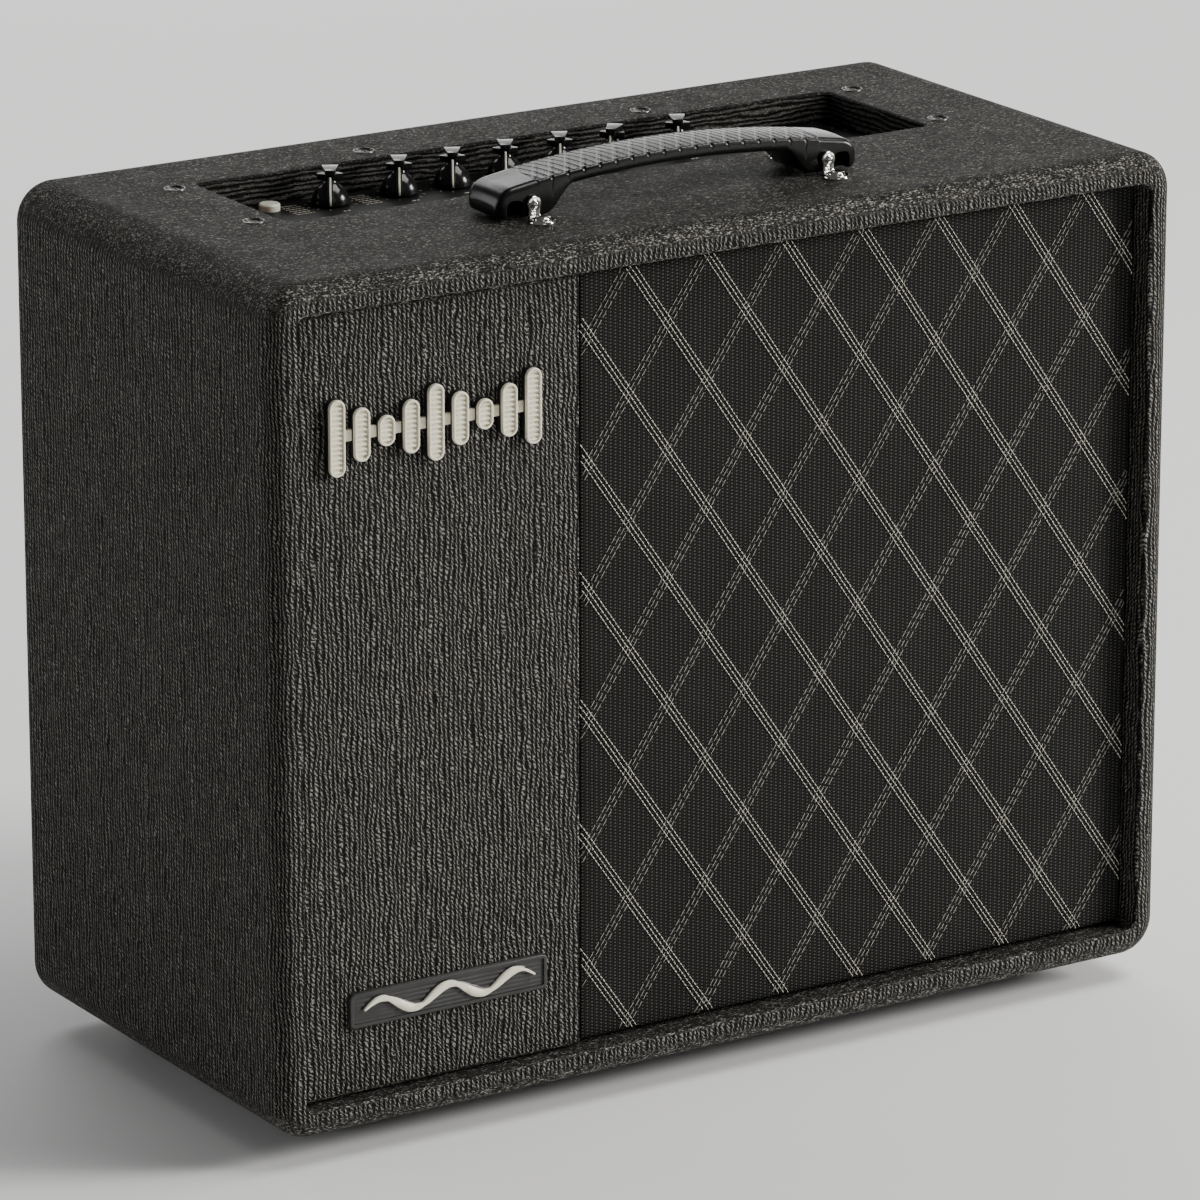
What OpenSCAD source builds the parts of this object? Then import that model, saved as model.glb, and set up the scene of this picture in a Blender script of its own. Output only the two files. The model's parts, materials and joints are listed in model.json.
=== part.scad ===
// Guitar amplifier combo: one 10-inch loudspeaker below a top-mounted control panel.
// X runs to the right seen from the front, Y to the back, Z up; the feet stand at Z = 0.

/* [Cabinet] */
// Width of the cabinet
cabinet_w = 455; // [450:1:475]
// Depth of the cabinet from its front face to its back face
cabinet_d = 224; // [222:1:236]
// Height of the cabinet without its feet
cabinet_h = 370; // [366:1:385]
// Radius of the four long corners, seen from the front
corner_r = 17; // [14:1:20]
// Roundover of the front and back edges
edge_r = 9.5; // [8:0.5:11]
// Thickness of the boards
board_t = 11.8; // [11:0.1:12.5]
// Thickness of the vinyl covering
vinyl_t = 0.7; // [0.5:0.1:0.9]
// Height of the rubber feet
foot_h = 12; // [10:1:16]

/* [Front] */
// Right-hand edge of the vinyl-covered front strip
strip_edge_x = -74.2; // [-80:0.1:-60]
// Depth of the front strip behind the front face
strip_recess = 7; // [6:0.5:9]
// Depth of the grille cloth behind the front face
cloth_recess = 10; // [9:0.5:12]
// Width of the raised mark on the strip
badge_w = 102; // [90:1:104]
// Height of the raised mark
badge_h = 32.6; // [28:0.1:36]

/* [Controls] */
// Width of the opening in the top
opening_w = 325; // [322:1:330]
// Front edge of the opening
opening_front_y = -15; // [-18:1:-14]
// Back edge of the opening
opening_back_y = 63.5; // [62:0.5:66]
// Depth of the control panel below the top
panel_recess = 14; // [14:0.5:16]
// Diameter of the skirt of a control knob
knob_d = 16.6; // [15:0.1:17.4]
// Height of a control knob
knob_h = 15.6; // [14:0.1:18]
// Line of the knobs, back from the middle
knob_y = 50.5; // [49:0.5:51]

/* [Loudspeaker] */
// Position of the loudspeaker across the cabinet
speaker_x = 70; // [64:1:74]
// Height of the loudspeaker's centre above the cabinet's bottom
speaker_rise = 176; // [170:1:180]

/* [Handle] */
// Length of the handle
handle_l = 182; // [180:1:188]
// Width of the strap
handle_w = 26; // [24:1:27]
// Rise of the strap's highest point above the top
handle_rise = 22; // [21:0.5:25]
// Line of the handle, back from the middle
handle_y = -53; // [-54:1:-52]

/* [Hidden] */
$fn = 64;

// Cabinet levels and faces
top_z = foot_h + cabinet_h;
mid_z = foot_h + cabinet_h / 2;
front_y = -cabinet_d / 2;
back_y = cabinet_d / 2;
wall = board_t + vinyl_t;
inner_x = cabinet_w / 2 - wall;
floor_z = foot_h + wall;
ceiling_z = top_z - wall;
lining_x = inner_x - vinyl_t;
opening_mid_y = (opening_front_y + opening_back_y) / 2;
opening_d = opening_back_y - opening_front_y;
opening_corner_r = 3;

// Baffle and front panels
panel_gap = 0.7;
baffle_front_y = front_y + 16;
baffle_t = 12;
baffle_back_y = baffle_front_y + baffle_t;
cloth_t = 1;
speaker_z = foot_h + speaker_rise;
speaker_hole_r = 116;

// Back
back_panel_t = 10;
back_panel_y = back_y - 15.5;
batten_t = 12;
port_x = -130;
port_z = 110;
port_r = 30;
port_wall = 2.5;
window_x = 112;
window_low_z = top_z - 61;
window_high_z = top_z - 24;

// Control panel and chassis
panel_t = 1.5;
panel_z = top_z - panel_recess;
panel_under_z = panel_z - panel_t;
plate_x = 185;
chassis_x = 165;
chassis_front_y = -28;
chassis_back_y = 96;
chassis_bottom_z = top_z - 68.7;
sheet_t = 1.5;
top_screws = [[-174.5, 61], [174.5, 61], [-174.5, -6.5], [174.5, -6.5], [-71.5, 77], [71.5, 77]];
knob_xs = [-104, -69.5, -42.5, -15.5, 12.5, 40, 74];
knob_rest = [-30, -30, -30, -30, -30, -45, -30];
knob_z = panel_z + 0.6;
shaft_r = 3;
running_gap = 0.05;
bushing_r = 3.5;
bushing_rise = 3.5;
pot_h = 8.5;
board_top_z = panel_under_z - pot_h;
pcb_t = 1.6;
pcb_under_z = board_top_z - pcb_t;
button_r = 4.65;
button_rise = 3;
button_travel = 0.8;
plunger_h = 4.2;
preset_place = [-131, 56];
effect_places = [[-98, 8], [-64, 8], [-30, 8]];
lamp_places = [[-98, 20], [-64, 20], [-30, 20], [-131, 20], [112, 20]];
jack_place = [-148, 50];
rear_jack_xs = [-60, -25];
socket_z = top_z - 42;
jack_bore_r = 3.25;
jack_r = 4.5;
inlet_x = 80;
power_place = [150, 18];
rocker_tilt = 8;
rocker_axis_z = panel_z + 1;
valve_x = 62;
valve_y = 28;
valve_z = top_z - 50;

// Loudspeaker: depths run back from the front of its flange
flange_y = baffle_back_y + 1.5;
basket_r = 128.5;
magnet_r = 60;

// The lead's route, in Y and in height above the terminals
lead_x = speaker_x - 4;
lead_start_z = speaker_z + 103;
lead_route = [
    [-57, 0], [-57, 4], [-55, 8], [-51, 11], [-45, 12], [-38, 12], [-31, 11], [-24, 9], [-18, 8],
    [-13, 10], [-10.6, 15], [-10, 21], [-10, 30], [-10, 40], [-10, 50], [-10, 59]
];
lead_r = 2.2;
lead_sides = 8;

// Handle
arch_r = 500;
strap_t = 6.5;
pin_x = 74.3;
bracket_foot_y = 21;
pin_r = 2;
pin_rise = 7;
handle_lift = 2.5;
foot_places = [[-182.5, -54], [182.5, -54], [-182.5, 70], [182.5, 70]];
back_screws = [
    [-206, 45], [206, 45], [-206, 200], [206, 200], [-206, 350], [206, 350], [-70, 32], [70, 32]
];

// ---- Shared shapes ----

module rounded_rect(w, h, r) {
    square([w - 2 * r, h], center = true);
    square([w, h - 2 * r], center = true);
    for (x = [-1, 1], y = [-1, 1])
        translate([x * (w / 2 - r), y * (h / 2 - r)])
            circle(r);
}

// A box given by its low and high corners
module span_box(low, high) {
    translate(low)
        cube(high - low);
}

// An outline in X and Z, extruded from y1 back to y2
module along_y(y1, y2) {
    translate([0, y2, 0])
        rotate([90, 0, 0])
            linear_extrude(y2 - y1)
                children();
}

// The cabinet's rounded block, shrunk on every side by inset
module cabinet_block(inset) {
    w = cabinet_w - 2 * inset;
    d = cabinet_d - 2 * inset;
    h = cabinet_h - 2 * inset;
    column_r = corner_r - inset;
    round_r = edge_r - inset;
    translate([0, 0, mid_z]) {
        rotate([90, 0, 90])
            linear_extrude(w - 2 * column_r, center = true)
                rounded_rect(d, h, round_r);
        linear_extrude(h - 2 * column_r, center = true)
            rounded_rect(w, d, round_r);
        for (x = [-1, 1], z = [-1, 1])
            translate([x * (w / 2 - column_r), 0, z * (h / 2 - column_r)])
                rotate([90, 0, 0])
                    rotate_extrude()
                        intersection() {
                            rounded_rect(2 * column_r, d, round_r);
                            translate([0, -d])
                                square([column_r, 2 * d]);
                        }
    }
}

// The opening in the top, grown on every side by extra
module opening_cut(extra) {
    translate([0, opening_mid_y, ceiling_z - 5])
        linear_extrude(wall + 10)
            rounded_rect(opening_w + 2 * extra, opening_d + 2 * extra, opening_corner_r + extra);
}

module top_screw_holes(r) {
    for (p = top_screws)
        translate([p[0], p[1], panel_under_z - 5])
            cylinder(r = r, h = panel_recess + 10);
}

// Recesses in the top that hold the cup washers
module cup_sinks() {
    for (p = top_screws)
        translate([p[0], p[1], top_z - 2.6])
            cylinder(r = 4.2, h = 4);
}

// Pan-head screw standing on its head's underside, its point down
module screw(head_r, head_h, shank_r, length) {
    cylinder(r = head_r, h = head_h);
    translate([0, 0, -length])
        cylinder(r = shank_r, h = length + 0.1);
}

// Places children in front of the loudspeaker's flange, with their Z turned to run back along +Y
module on_speaker() {
    translate([speaker_x, flange_y, speaker_z])
        rotate([-90, 0, 0])
            children();
}

// ---- Cabinet ----

module top_board() {
    color([0.55, 0.42, 0.28])
        difference() {
            intersection() {
                cabinet_block(vinyl_t);
                span_box([-inner_x, front_y, ceiling_z], [inner_x, back_y, top_z]);
            }
            opening_cut(vinyl_t);
            top_screw_holes(2.3);
            cup_sinks();
        }
}

module bottom_board() {
    color([0.55, 0.42, 0.28])
        intersection() {
            cabinet_block(vinyl_t);
            span_box([-inner_x, front_y, foot_h], [inner_x, back_y, floor_z]);
        }
}

module side_boards() {
    color([0.55, 0.42, 0.28])
        for (side = [-1, 1])
            intersection() {
                cabinet_block(vinyl_t);
                translate([side * (inner_x + wall / 2), 0, mid_z])
                    cube([wall, cabinet_d, cabinet_h], center = true);
            }
}

// Vinyl over the outside, round the front edges as far as the baffle, and down the opening's walls
module vinyl_covering() {
    color([0.09, 0.085, 0.08])
        difference() {
            union() {
                difference() {
                    cabinet_block(0);
                    cabinet_block(vinyl_t);
                    span_box([-inner_x, front_y - 1, floor_z], [inner_x, back_y + 1, ceiling_z]);
                }
                difference() {
                    span_box([-inner_x, front_y, floor_z], [inner_x, baffle_front_y, ceiling_z]);
                    span_box(
                        [-lining_x, front_y - 1, floor_z + vinyl_t],
                        [lining_x, baffle_front_y + 1, ceiling_z - vinyl_t]
                    );
                }
                intersection() {
                    opening_cut(vinyl_t);
                    span_box([-inner_x, front_y, ceiling_z], [inner_x, back_y, top_z]);
                }
            }
            opening_cut(0);
            cup_sinks();
        }
}

module baffle_board() {
    edge = 0.5;
    color([0.5, 0.38, 0.26])
        difference() {
            span_box(
                [-inner_x + edge, baffle_front_y, floor_z + edge],
                [inner_x - edge, baffle_back_y, ceiling_z - edge]
            );
            translate([speaker_x, baffle_front_y - 1, speaker_z])
                rotate([-90, 0, 0])
                    cylinder(r = speaker_hole_r, h = baffle_t + 2);
        }
}

module front_strip() {
    gap = 1;
    color([0.12, 0.12, 0.11])
        span_box(
            [-lining_x + gap, front_y + strip_recess, floor_z + vinyl_t + gap],
            [strip_edge_x - panel_gap, baffle_front_y, ceiling_z - vinyl_t - gap]
        );
}

module grille_frame() {
    side = 2;
    bar = 22;
    low_x = strip_edge_x + cloth_t;
    high_x = lining_x - side;
    low_z = floor_z + vinyl_t + side;
    high_z = ceiling_z - vinyl_t - side;
    color([0.2, 0.17, 0.14])
        difference() {
            span_box(
                [low_x, front_y + cloth_recess + cloth_t, low_z],
                [high_x, baffle_front_y, high_z]
            );
            span_box(
                [low_x + bar, front_y, low_z + bar],
                [high_x - bar, baffle_back_y, high_z - bar]
            );
        }
}

module grille_cloth() {
    side = 1;
    low = [strip_edge_x, front_y + cloth_recess, floor_z + vinyl_t + side];
    high = [lining_x - side, baffle_front_y, ceiling_z - vinyl_t - side];
    color([0.07, 0.07, 0.07])
        difference() {
            span_box(low, high);
            span_box(
                low + [cloth_t, cloth_t, cloth_t],
                [high[0] - cloth_t, high[1] + 1, high[2] - cloth_t]
            );
        }
}

module back_panel() {
    edge = 1.5;
    color([0.1, 0.1, 0.1])
        difference() {
            span_box(
                [-inner_x + edge, back_panel_y, floor_z + edge],
                [inner_x - edge, back_panel_y + back_panel_t, ceiling_z - edge]
            );
            span_box(
                [-window_x, back_panel_y - 1, window_low_z],
                [window_x, back_y, window_high_z]
            );
            translate([port_x, back_panel_y - 1, port_z])
                rotate([-90, 0, 0])
                    cylinder(r = port_r + port_wall, h = back_panel_t + 2);
            for (p = back_screws)
                translate([p[0], back_panel_y - 1, p[1]])
                    rotate([-90, 0, 0])
                        cylinder(r = 2.3, h = back_panel_t + 2);
        }
}

module back_battens() {
    low_y = back_panel_y - batten_t;
    color([0.62, 0.5, 0.34]) {
        for (side = [-1, 1])
            translate([side * (inner_x - batten_t / 2), low_y + batten_t / 2, (floor_z + ceiling_z) / 2])
                cube([batten_t, batten_t, ceiling_z - floor_z], center = true);
        span_box(
            [-inner_x + batten_t + 1, low_y, floor_z],
            [inner_x - batten_t - 1, back_panel_y, floor_z + 15]
        );
    }
}

module port_tube() {
    flange_t = 3;
    length = 88;
    flange_back_y = back_panel_y + back_panel_t + flange_t;
    color([0.08, 0.08, 0.08])
        translate([port_x, flange_back_y, port_z])
            rotate([90, 0, 0])
                difference() {
                    union() {
                        cylinder(r = port_r + port_wall, h = length);
                        cylinder(r = port_r + 9, h = flange_t);
                    }
                    translate([0, 0, -1])
                        cylinder(r = port_r, h = length + 2);
                }
}

module rubber_feet() {
    color([0.06, 0.06, 0.06])
        for (p = foot_places)
            translate([p[0], p[1], 0])
                difference() {
                    cylinder(r1 = 13.5, r2 = 15, h = foot_h);
                    translate([0, 0, -1])
                        cylinder(r = 5.5, h = 6);
                    cylinder(r = 2.3, h = foot_h + 1);
                }
}

// The feet's, the back panel's and the loudspeaker's screws
module wood_screws() {
    color([0.12, 0.12, 0.12]) {
        for (p = foot_places)
            translate([p[0], p[1], 5])
                rotate([180, 0, 0])
                    screw(4, 2.4, 2, 17);
        for (p = back_screws)
            translate([p[0], back_panel_y + back_panel_t, p[1]])
                rotate([-90, 0, 0])
                    screw(4, 2.4, 2, 20);
        for (i = [0:7])
            translate([
                speaker_x + 122.5 * cos(45 * i + 22.5),
                flange_y + 2,
                speaker_z + 122.5 * sin(45 * i + 22.5)
            ])
                rotate([-90, 0, 0])
                    screw(4, 2.4, 2, 12);
    }
}

// ---- Marks on the front strip ----

// Height of bar number i, counted from the middle one, as a share of the tallest
function bar_share(i) = 0.4 + 0.6 * pow(cos(i * 45), 2);

module badge() {
    bars = 9;
    bar_w = 7.4;
    pitch = (badge_w - bar_w) / (bars - 1);
    strip_y = front_y + strip_recess;
    centre_x = -147.3;
    centre_z = top_z - 67.3;
    color([0.86, 0.82, 0.7])
        translate([centre_x, 0, centre_z]) {
            along_y(strip_y - 4, strip_y)
                for (i = [0:bars - 1])
                    translate([(i - (bars - 1) / 2) * pitch, 0])
                        rounded_rect(bar_w, badge_h * bar_share(i - (bars - 1) / 2), bar_w / 2 - 0.1);
            along_y(strip_y - 1.6, strip_y)
                square([badge_w - bar_w, 5], center = true);
        }
}

// Ripple of two and a half waves, as a ribbon
function ripple(t) = 3.6 * sin(t * 900);

module nameplate() {
    strip_y = front_y + strip_recess;
    plate_w = 98;
    plate_h = 16;
    plate_t = 2.4;
    ripple_w = 84;
    steps = 40;
    ribbon = 1.3;
    upper = [for (i = [0:steps]) [ripple_w * (i / steps - 0.5), ripple(i / steps) + ribbon]];
    lower = [for (i = [steps:-1:0]) [ripple_w * (i / steps - 0.5), ripple(i / steps) - ribbon]];
    color([0.05, 0.05, 0.05])
        translate([-142, 0, foot_h + 52]) {
            along_y(strip_y - plate_t, strip_y)
                rounded_rect(plate_w, plate_h, 2);
            along_y(strip_y - plate_t - 1, strip_y)
                polygon(concat(upper, lower));
        }
}

// ---- Handle ----

// The handle's arcs all share one centre, so that the strap keeps its thickness
module arch_disc(r) {
    translate([0, handle_rise - arch_r])
        circle(r, $fn = 720);
}

module arch_band(low_r, high_r, half_w) {
    intersection() {
        difference() {
            arch_disc(high_r);
            arch_disc(low_r);
        }
        translate([-half_w, -5])
            square([2 * half_w, 40]);
    }
}

// Front view of the grip: the strap and its two end blocks under one arch
module grip_outline() {
    end_l = 27;
    end_h = 14.7;
    end_r = 6.5;
    strap_half = handle_l / 2 - 10;
    intersection() {
        arch_disc(arch_r);
        union() {
            difference() {
                translate([-strap_half, 2])
                    square([2 * strap_half, 40]);
                arch_disc(arch_r - strap_t);
            }
            for (side = [-1, 1])
                translate([side * (handle_l - end_l) / 2, 1 + end_h / 2])
                    rounded_rect(end_l, end_h, end_r);
        }
    }
}

// Slot that the pin rides in: room above for the fit, and below for the strap's play
module pin_slot_outline() {
    gap = 0.3;
    slot_h = 2 * pin_r + 2 * gap + handle_lift;
    translate([pin_x + 1.5, pin_rise + pin_r + gap - slot_h / 2])
        rounded_rect(2 * pin_r + 5, slot_h, 2);
}

// The steel strip in the strap's underside; the groove that it lies in is cut from further below
module core_outline(below) {
    core_t = 1.2;
    low_r = arch_r - strap_t;
    arch_band(low_r - below, low_r + core_t, pin_x - 10);
}

module handle_grip() {
    pocket_d = 6;
    color([0.06, 0.06, 0.06])
        translate([0, 0, top_z])
            difference() {
                along_y(handle_y - handle_w / 2, handle_y + handle_w / 2)
                    grip_outline();
                for (side = [0, 1])
                    mirror([side, 0, 0]) {
                        along_y(handle_y - handle_w, handle_y + handle_w)
                            pin_slot_outline();
                        for (y = [handle_y - handle_w / 2 - 1, handle_y + handle_w / 2 - pocket_d])
                            along_y(y, y + pocket_d + 1)
                                translate([handle_l / 2 - 8.5, 3])
                                    rounded_rect(8.5, 12, 3);
                    }
                along_y(handle_y - 7, handle_y + 7)
                    core_outline(1);
            }
}

module handle_core() {
    color([0.6, 0.6, 0.62])
        translate([0, 0, top_z])
            along_y(handle_y - 7, handle_y + 7)
                core_outline(0);
}

// Each bracket: two tabs with out-turned feet, and the pin riveted between them
module handle_brackets() {
    tab_t = 1.6;
    tab_w = 5.5;
    gap = 0.7;
    tab_y = handle_w / 2 + gap;
    foot_y = bracket_foot_y;
    color([0.85, 0.85, 0.87])
        for (side = [-1, 1])
            translate([side * pin_x, handle_y, top_z]) {
                for (end = [-1, 1]) {
                    translate([-tab_w / 2, end > 0 ? tab_y : -tab_y - tab_t, 0])
                        cube([tab_w, tab_t, pin_rise + 0.2]);
                    translate([0, end > 0 ? tab_y + tab_t : -tab_y, pin_rise])
                        rotate([90, 0, 0])
                            cylinder(r = tab_w / 2 + 0.6, h = tab_t);
                    difference() {
                        union() {
                            translate([0, end * foot_y, 0])
                                cylinder(r = 5.9, h = tab_t);
                            translate([-tab_w / 2, end > 0 ? tab_y : -foot_y, 0])
                                cube([tab_w, foot_y - tab_y, tab_t]);
                        }
                        translate([0, end * foot_y, -1])
                            cylinder(r = 1.8, h = tab_t + 2);
                    }
                }
                translate([0, tab_y + tab_t + 1, pin_rise])
                    rotate([90, 0, 0])
                        cylinder(r = pin_r, h = 2 * (tab_y + tab_t + 1));
            }
}

module handle_screws() {
    color([0.85, 0.85, 0.87])
        for (x = [-pin_x, pin_x], y = [-bracket_foot_y, bracket_foot_y])
            translate([x, handle_y + y, top_z + 1.6])
                screw(3.8, 1.8, 1.7, 12);
}

// ---- Chassis ----

module hole_at(place, r) {
    translate([place[0], place[1], panel_under_z - 1])
        cylinder(r = r, h = panel_t + 2);
}

module control_panel() {
    color([0.13, 0.13, 0.13])
        difference() {
            span_box(
                [-plate_x, chassis_front_y, panel_under_z],
                [plate_x, chassis_back_y, panel_z]
            );
            top_screw_holes(2);
            for (x = knob_xs)
                hole_at([x, knob_y], bushing_r);
            for (p = concat([preset_place], effect_places))
                hole_at(p, button_r + 0.3);
            for (p = lamp_places)
                hole_at(p, 1.5);
            hole_at(jack_place, jack_r);
            translate([power_place[0] - 6.6, power_place[1] - 9.6, panel_under_z - 1])
                cube([13.2, 19.2, panel_t + 2]);
        }
}

// The floor, front and sides of the chassis, with the flanges that its screws go through
module chassis_tray() {
    low = [-chassis_x, chassis_front_y, chassis_bottom_z];
    high = [chassis_x, chassis_back_y - sheet_t, panel_under_z];
    flange_d = 24;
    color([0.65, 0.66, 0.67])
        difference() {
            union() {
                difference() {
                    span_box(low, high);
                    span_box(low + [sheet_t, sheet_t, sheet_t], high + [-sheet_t, 1, 1]);
                }
                for (side = [-1, 1], y = [61, -6.5])
                    translate([side * (chassis_x + plate_x) / 2, y, panel_under_z - sheet_t / 2])
                        cube([plate_x - chassis_x, flange_d, sheet_t], center = true);
            }
            top_screw_holes(2);
            translate([lead_x, -10, chassis_bottom_z - 1])
                cylinder(r = 3, h = 5);
        }
}

// The chassis's back wall, which the sockets go through
module chassis_rear() {
    color([0.65, 0.66, 0.67])
        difference() {
            span_box(
                [-chassis_x, chassis_back_y - sheet_t, chassis_bottom_z],
                [chassis_x, chassis_back_y, panel_under_z]
            );
            for (x = rear_jack_xs)
                translate([x, chassis_back_y - 5, socket_z])
                    rotate([-90, 0, 0])
                        cylinder(r = jack_r, h = 10);
            translate([inlet_x, chassis_back_y, socket_z])
                cube([12.4, 10, 11.4], center = true);
        }
}

module chassis_gasket() {
    color([0.1, 0.1, 0.1])
        difference() {
            span_box([-plate_x, chassis_front_y, panel_z], [plate_x, chassis_back_y, ceiling_z]);
            opening_cut(vinyl_t);
            top_screw_holes(2.3);
        }
}

module cup_washers() {
    color([0.16, 0.16, 0.16])
        for (p = top_screws)
            translate([p[0], p[1], top_z])
                rotate_extrude()
                    polygon([
                        [2.3, -2.4], [3, -2.4], [4.1, -0.6], [4.1, 0], [4.8, 0], [4.7, 0.4],
                        [4.2, 0.5], [3.7, -0.4], [2.8, -1.8], [2.3, -1.8]
                    ]);
}

module chassis_screws() {
    color([0.2, 0.2, 0.2])
        for (p = top_screws)
            translate([p[0], p[1], top_z])
                difference() {
                    union() {
                        rotate_extrude()
                            polygon([
                                [0, -1.8], [2.7, -1.8], [3.2, -1], [2.6, -0.3], [1.4, 0.1], [0, 0.2]
                            ]);
                        translate([0, 0, -panel_recess - 5])
                            cylinder(r = 2, h = panel_recess + 3.5);
                    }
                    for (turn = [0, 90])
                        rotate([0, 0, turn])
                            translate([-1.7, -0.35, -0.9])
                                cube([3.4, 0.7, 2]);
                }
}

// ---- Knobs ----

// Plan of a pointer knob's head, its nose to -Y and its fanned tail to +Y
module pointer_plan() {
    nose = 9.6;
    polygon([
        [-0.6, -nose], [0.6, -nose], [1.5, -2.6], [5.3, -1.2], [5.3, 0.6], [2.2, 1.6],
        [3.8, 6.4], [-3.8, 6.4], [-2.2, 1.6], [-5.3, 0.6], [-5.3, -1.2], [-1.5, -2.6]
    ]);
}

// Side view of the head: the nose slopes down from the flat top to the skirt's edge
module pointer_side() {
    polygon([
        [-9.8, 2], [-9.8, 4.2], [-7.6, 6.6], [-3.6, knob_h], [6.4, knob_h], [6.4, knob_h - 4],
        [2.6, knob_h - 6], [2.6, 2]
    ]);
}

// A knob with the potentiometer's shaft pressed into it
module knob(number) {
    color([0.04, 0.04, 0.04])
        translate([knob_xs[number - 1], knob_y, knob_z])
            rotate([0, 0, knob_rest[number - 1]]) {
                difference() {
                    union() {
                        rotate_extrude()
                            polygon([
                                [0, 0], [knob_d / 2 - 0.4, 0], [knob_d / 2, 0.6], [knob_d / 2, 1.6],
                                [knob_d / 2 - 0.8, 4], [knob_d / 2 - 2.4, 6.2], [4, 7.8],
                                [2.6, 9.4], [2.6, 12], [0, 12]
                            ]);
                        intersection() {
                            translate([0, 0, 1])
                                linear_extrude(knob_h)
                                    pointer_plan();
                            rotate([90, 0, 90])
                                linear_extrude(20, center = true)
                                    pointer_side();
                        }
                    }
                    translate([0, 0, -1])
                        cylinder(r = 6.3, h = 4.6);
                    cylinder(r = shaft_r + running_gap, h = knob_h - 4);
                }
                translate([0, 0, panel_under_z - 5.5 - knob_z])
                    cylinder(r = shaft_r, h = knob_z - panel_under_z + 5.5 + knob_h - 4.2);
            }
}

module potentiometers() {
    color([0.5, 0.5, 0.52])
        for (x = knob_xs)
            translate([x, knob_y, board_top_z])
                difference() {
                    union() {
                        cylinder(r = 8, h = pot_h);
                        cylinder(r = bushing_r, h = pot_h + panel_t + bushing_rise - 1);
                    }
                    translate([0, 0, 2.6])
                        cylinder(r = shaft_r + running_gap, h = 20);
                }
}

module pot_nuts() {
    color([0.6, 0.6, 0.62])
        for (x = knob_xs)
            translate([x, knob_y, panel_z])
                difference() {
                    cylinder(r = 5.6, h = 2, $fn = 6);
                    translate([0, 0, -1])
                        cylinder(r = bushing_r, h = 4);
                }
}

// ---- Jacks, buttons, lamps, switch, inlet ----

// A 6.35 mm jack standing on its panel at Z = 0: a threaded bushing above and the body below
module jack(panel) {
    difference() {
        union() {
            translate([0, 0, -panel - 23])
                linear_extrude(23)
                    rounded_rect(15, 15, 1.5);
            translate([0, 0, -panel])
                cylinder(r = jack_r, h = panel + 4);
        }
        translate([0, 0, -panel - 20])
            cylinder(r = jack_bore_r, h = 40);
    }
}

module jack_nut() {
    difference() {
        cylinder(r = 7.6, h = 2.6, $fn = 6);
        translate([0, 0, -1])
            cylinder(r = jack_r, h = 5);
    }
}

module at_each_jack() {
    translate([jack_place[0], jack_place[1], panel_z])
        children();
    for (x = rear_jack_xs)
        translate([x, chassis_back_y, socket_z])
            rotate([-90, 0, 0])
                children();
}

module jack_sockets() {
    color([0.08, 0.08, 0.08])
        at_each_jack()
            jack(panel_t);
}

module jack_nuts() {
    color([0.85, 0.85, 0.87])
        at_each_jack()
            jack_nut();
}

module button(place) {
    color([0.9, 0.87, 0.76])
        translate([place[0], place[1], panel_z]) {
            translate([0, 0, -panel_t - 0.5])
                cylinder(r = button_r, h = panel_t + 0.5 + button_rise - 0.6);
            translate([0, 0, button_rise - 0.6])
                cylinder(r1 = button_r, r2 = button_r - 0.6, h = 0.6);
            translate([0, 0, -panel_t - 1.7])
                cylinder(r = button_r + 1.4, h = 1.4);
            translate([0, 0, -panel_t - pot_h + plunger_h + button_travel + 0.2])
                cylinder(r = 2, h = 2);
        }
}

module led_lenses() {
    color([0.8, 0.1, 0.08])
        for (p = lamp_places)
            translate([p[0], p[1], board_top_z]) {
                cylinder(r = 1.5, h = panel_z - board_top_z + 0.4);
                translate([0, 0, panel_z - board_top_z + 0.4])
                    intersection() {
                        sphere(r = 1.5);
                        cylinder(r = 2, h = 2);
                    }
            }
}

module power_rocker() {
    color([0.07, 0.07, 0.07])
        translate([power_place[0], power_place[1], rocker_axis_z])
            rotate([-rocker_tilt, 0, 0])
                rotate([90, 0, 90])
                    linear_extrude(9.6, center = true)
                        intersection() {
                            circle(7.8);
                            polygon([[-9, -3], [9, -3], [9, 1.4], [0, 2.9], [-9, 1.4]]);
                        }
}

module power_switch_body() {
    color([0.1, 0.1, 0.1])
        translate([power_place[0], power_place[1], 0])
            difference() {
                union() {
                    span_box([-7.5, -10.5, panel_z], [7.5, 10.5, panel_z + 1.4]);
                    span_box([-6.4, -9.4, panel_z - 18], [6.4, 9.4, panel_z]);
                }
                span_box([-5.1, -8.2, rocker_axis_z - 5], [5.1, 8.2, panel_z + 5]);
            }
}

module power_inlet() {
    color([0.08, 0.08, 0.08])
        translate([inlet_x, chassis_back_y, socket_z]) {
            difference() {
                union() {
                    translate([-6, -14, -5.5])
                        cube([12, 15.5, 11]);
                    translate([-7.5, 0, -7])
                        cube([15, 1.5, 14]);
                }
                translate([0, -11, 0])
                    rotate([-90, 0, 0])
                        cylinder(r = 3.2, h = 20);
            }
            translate([0, -12, 0])
                rotate([-90, 0, 0])
                    cylinder(r = 0.9, h = 12);
        }
}

// ---- Electronics ----

module circuit_board() {
    color([0.08, 0.3, 0.16])
        span_box([-139.5, -20, pcb_under_z], [122, 66, board_top_z]);
}

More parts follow.
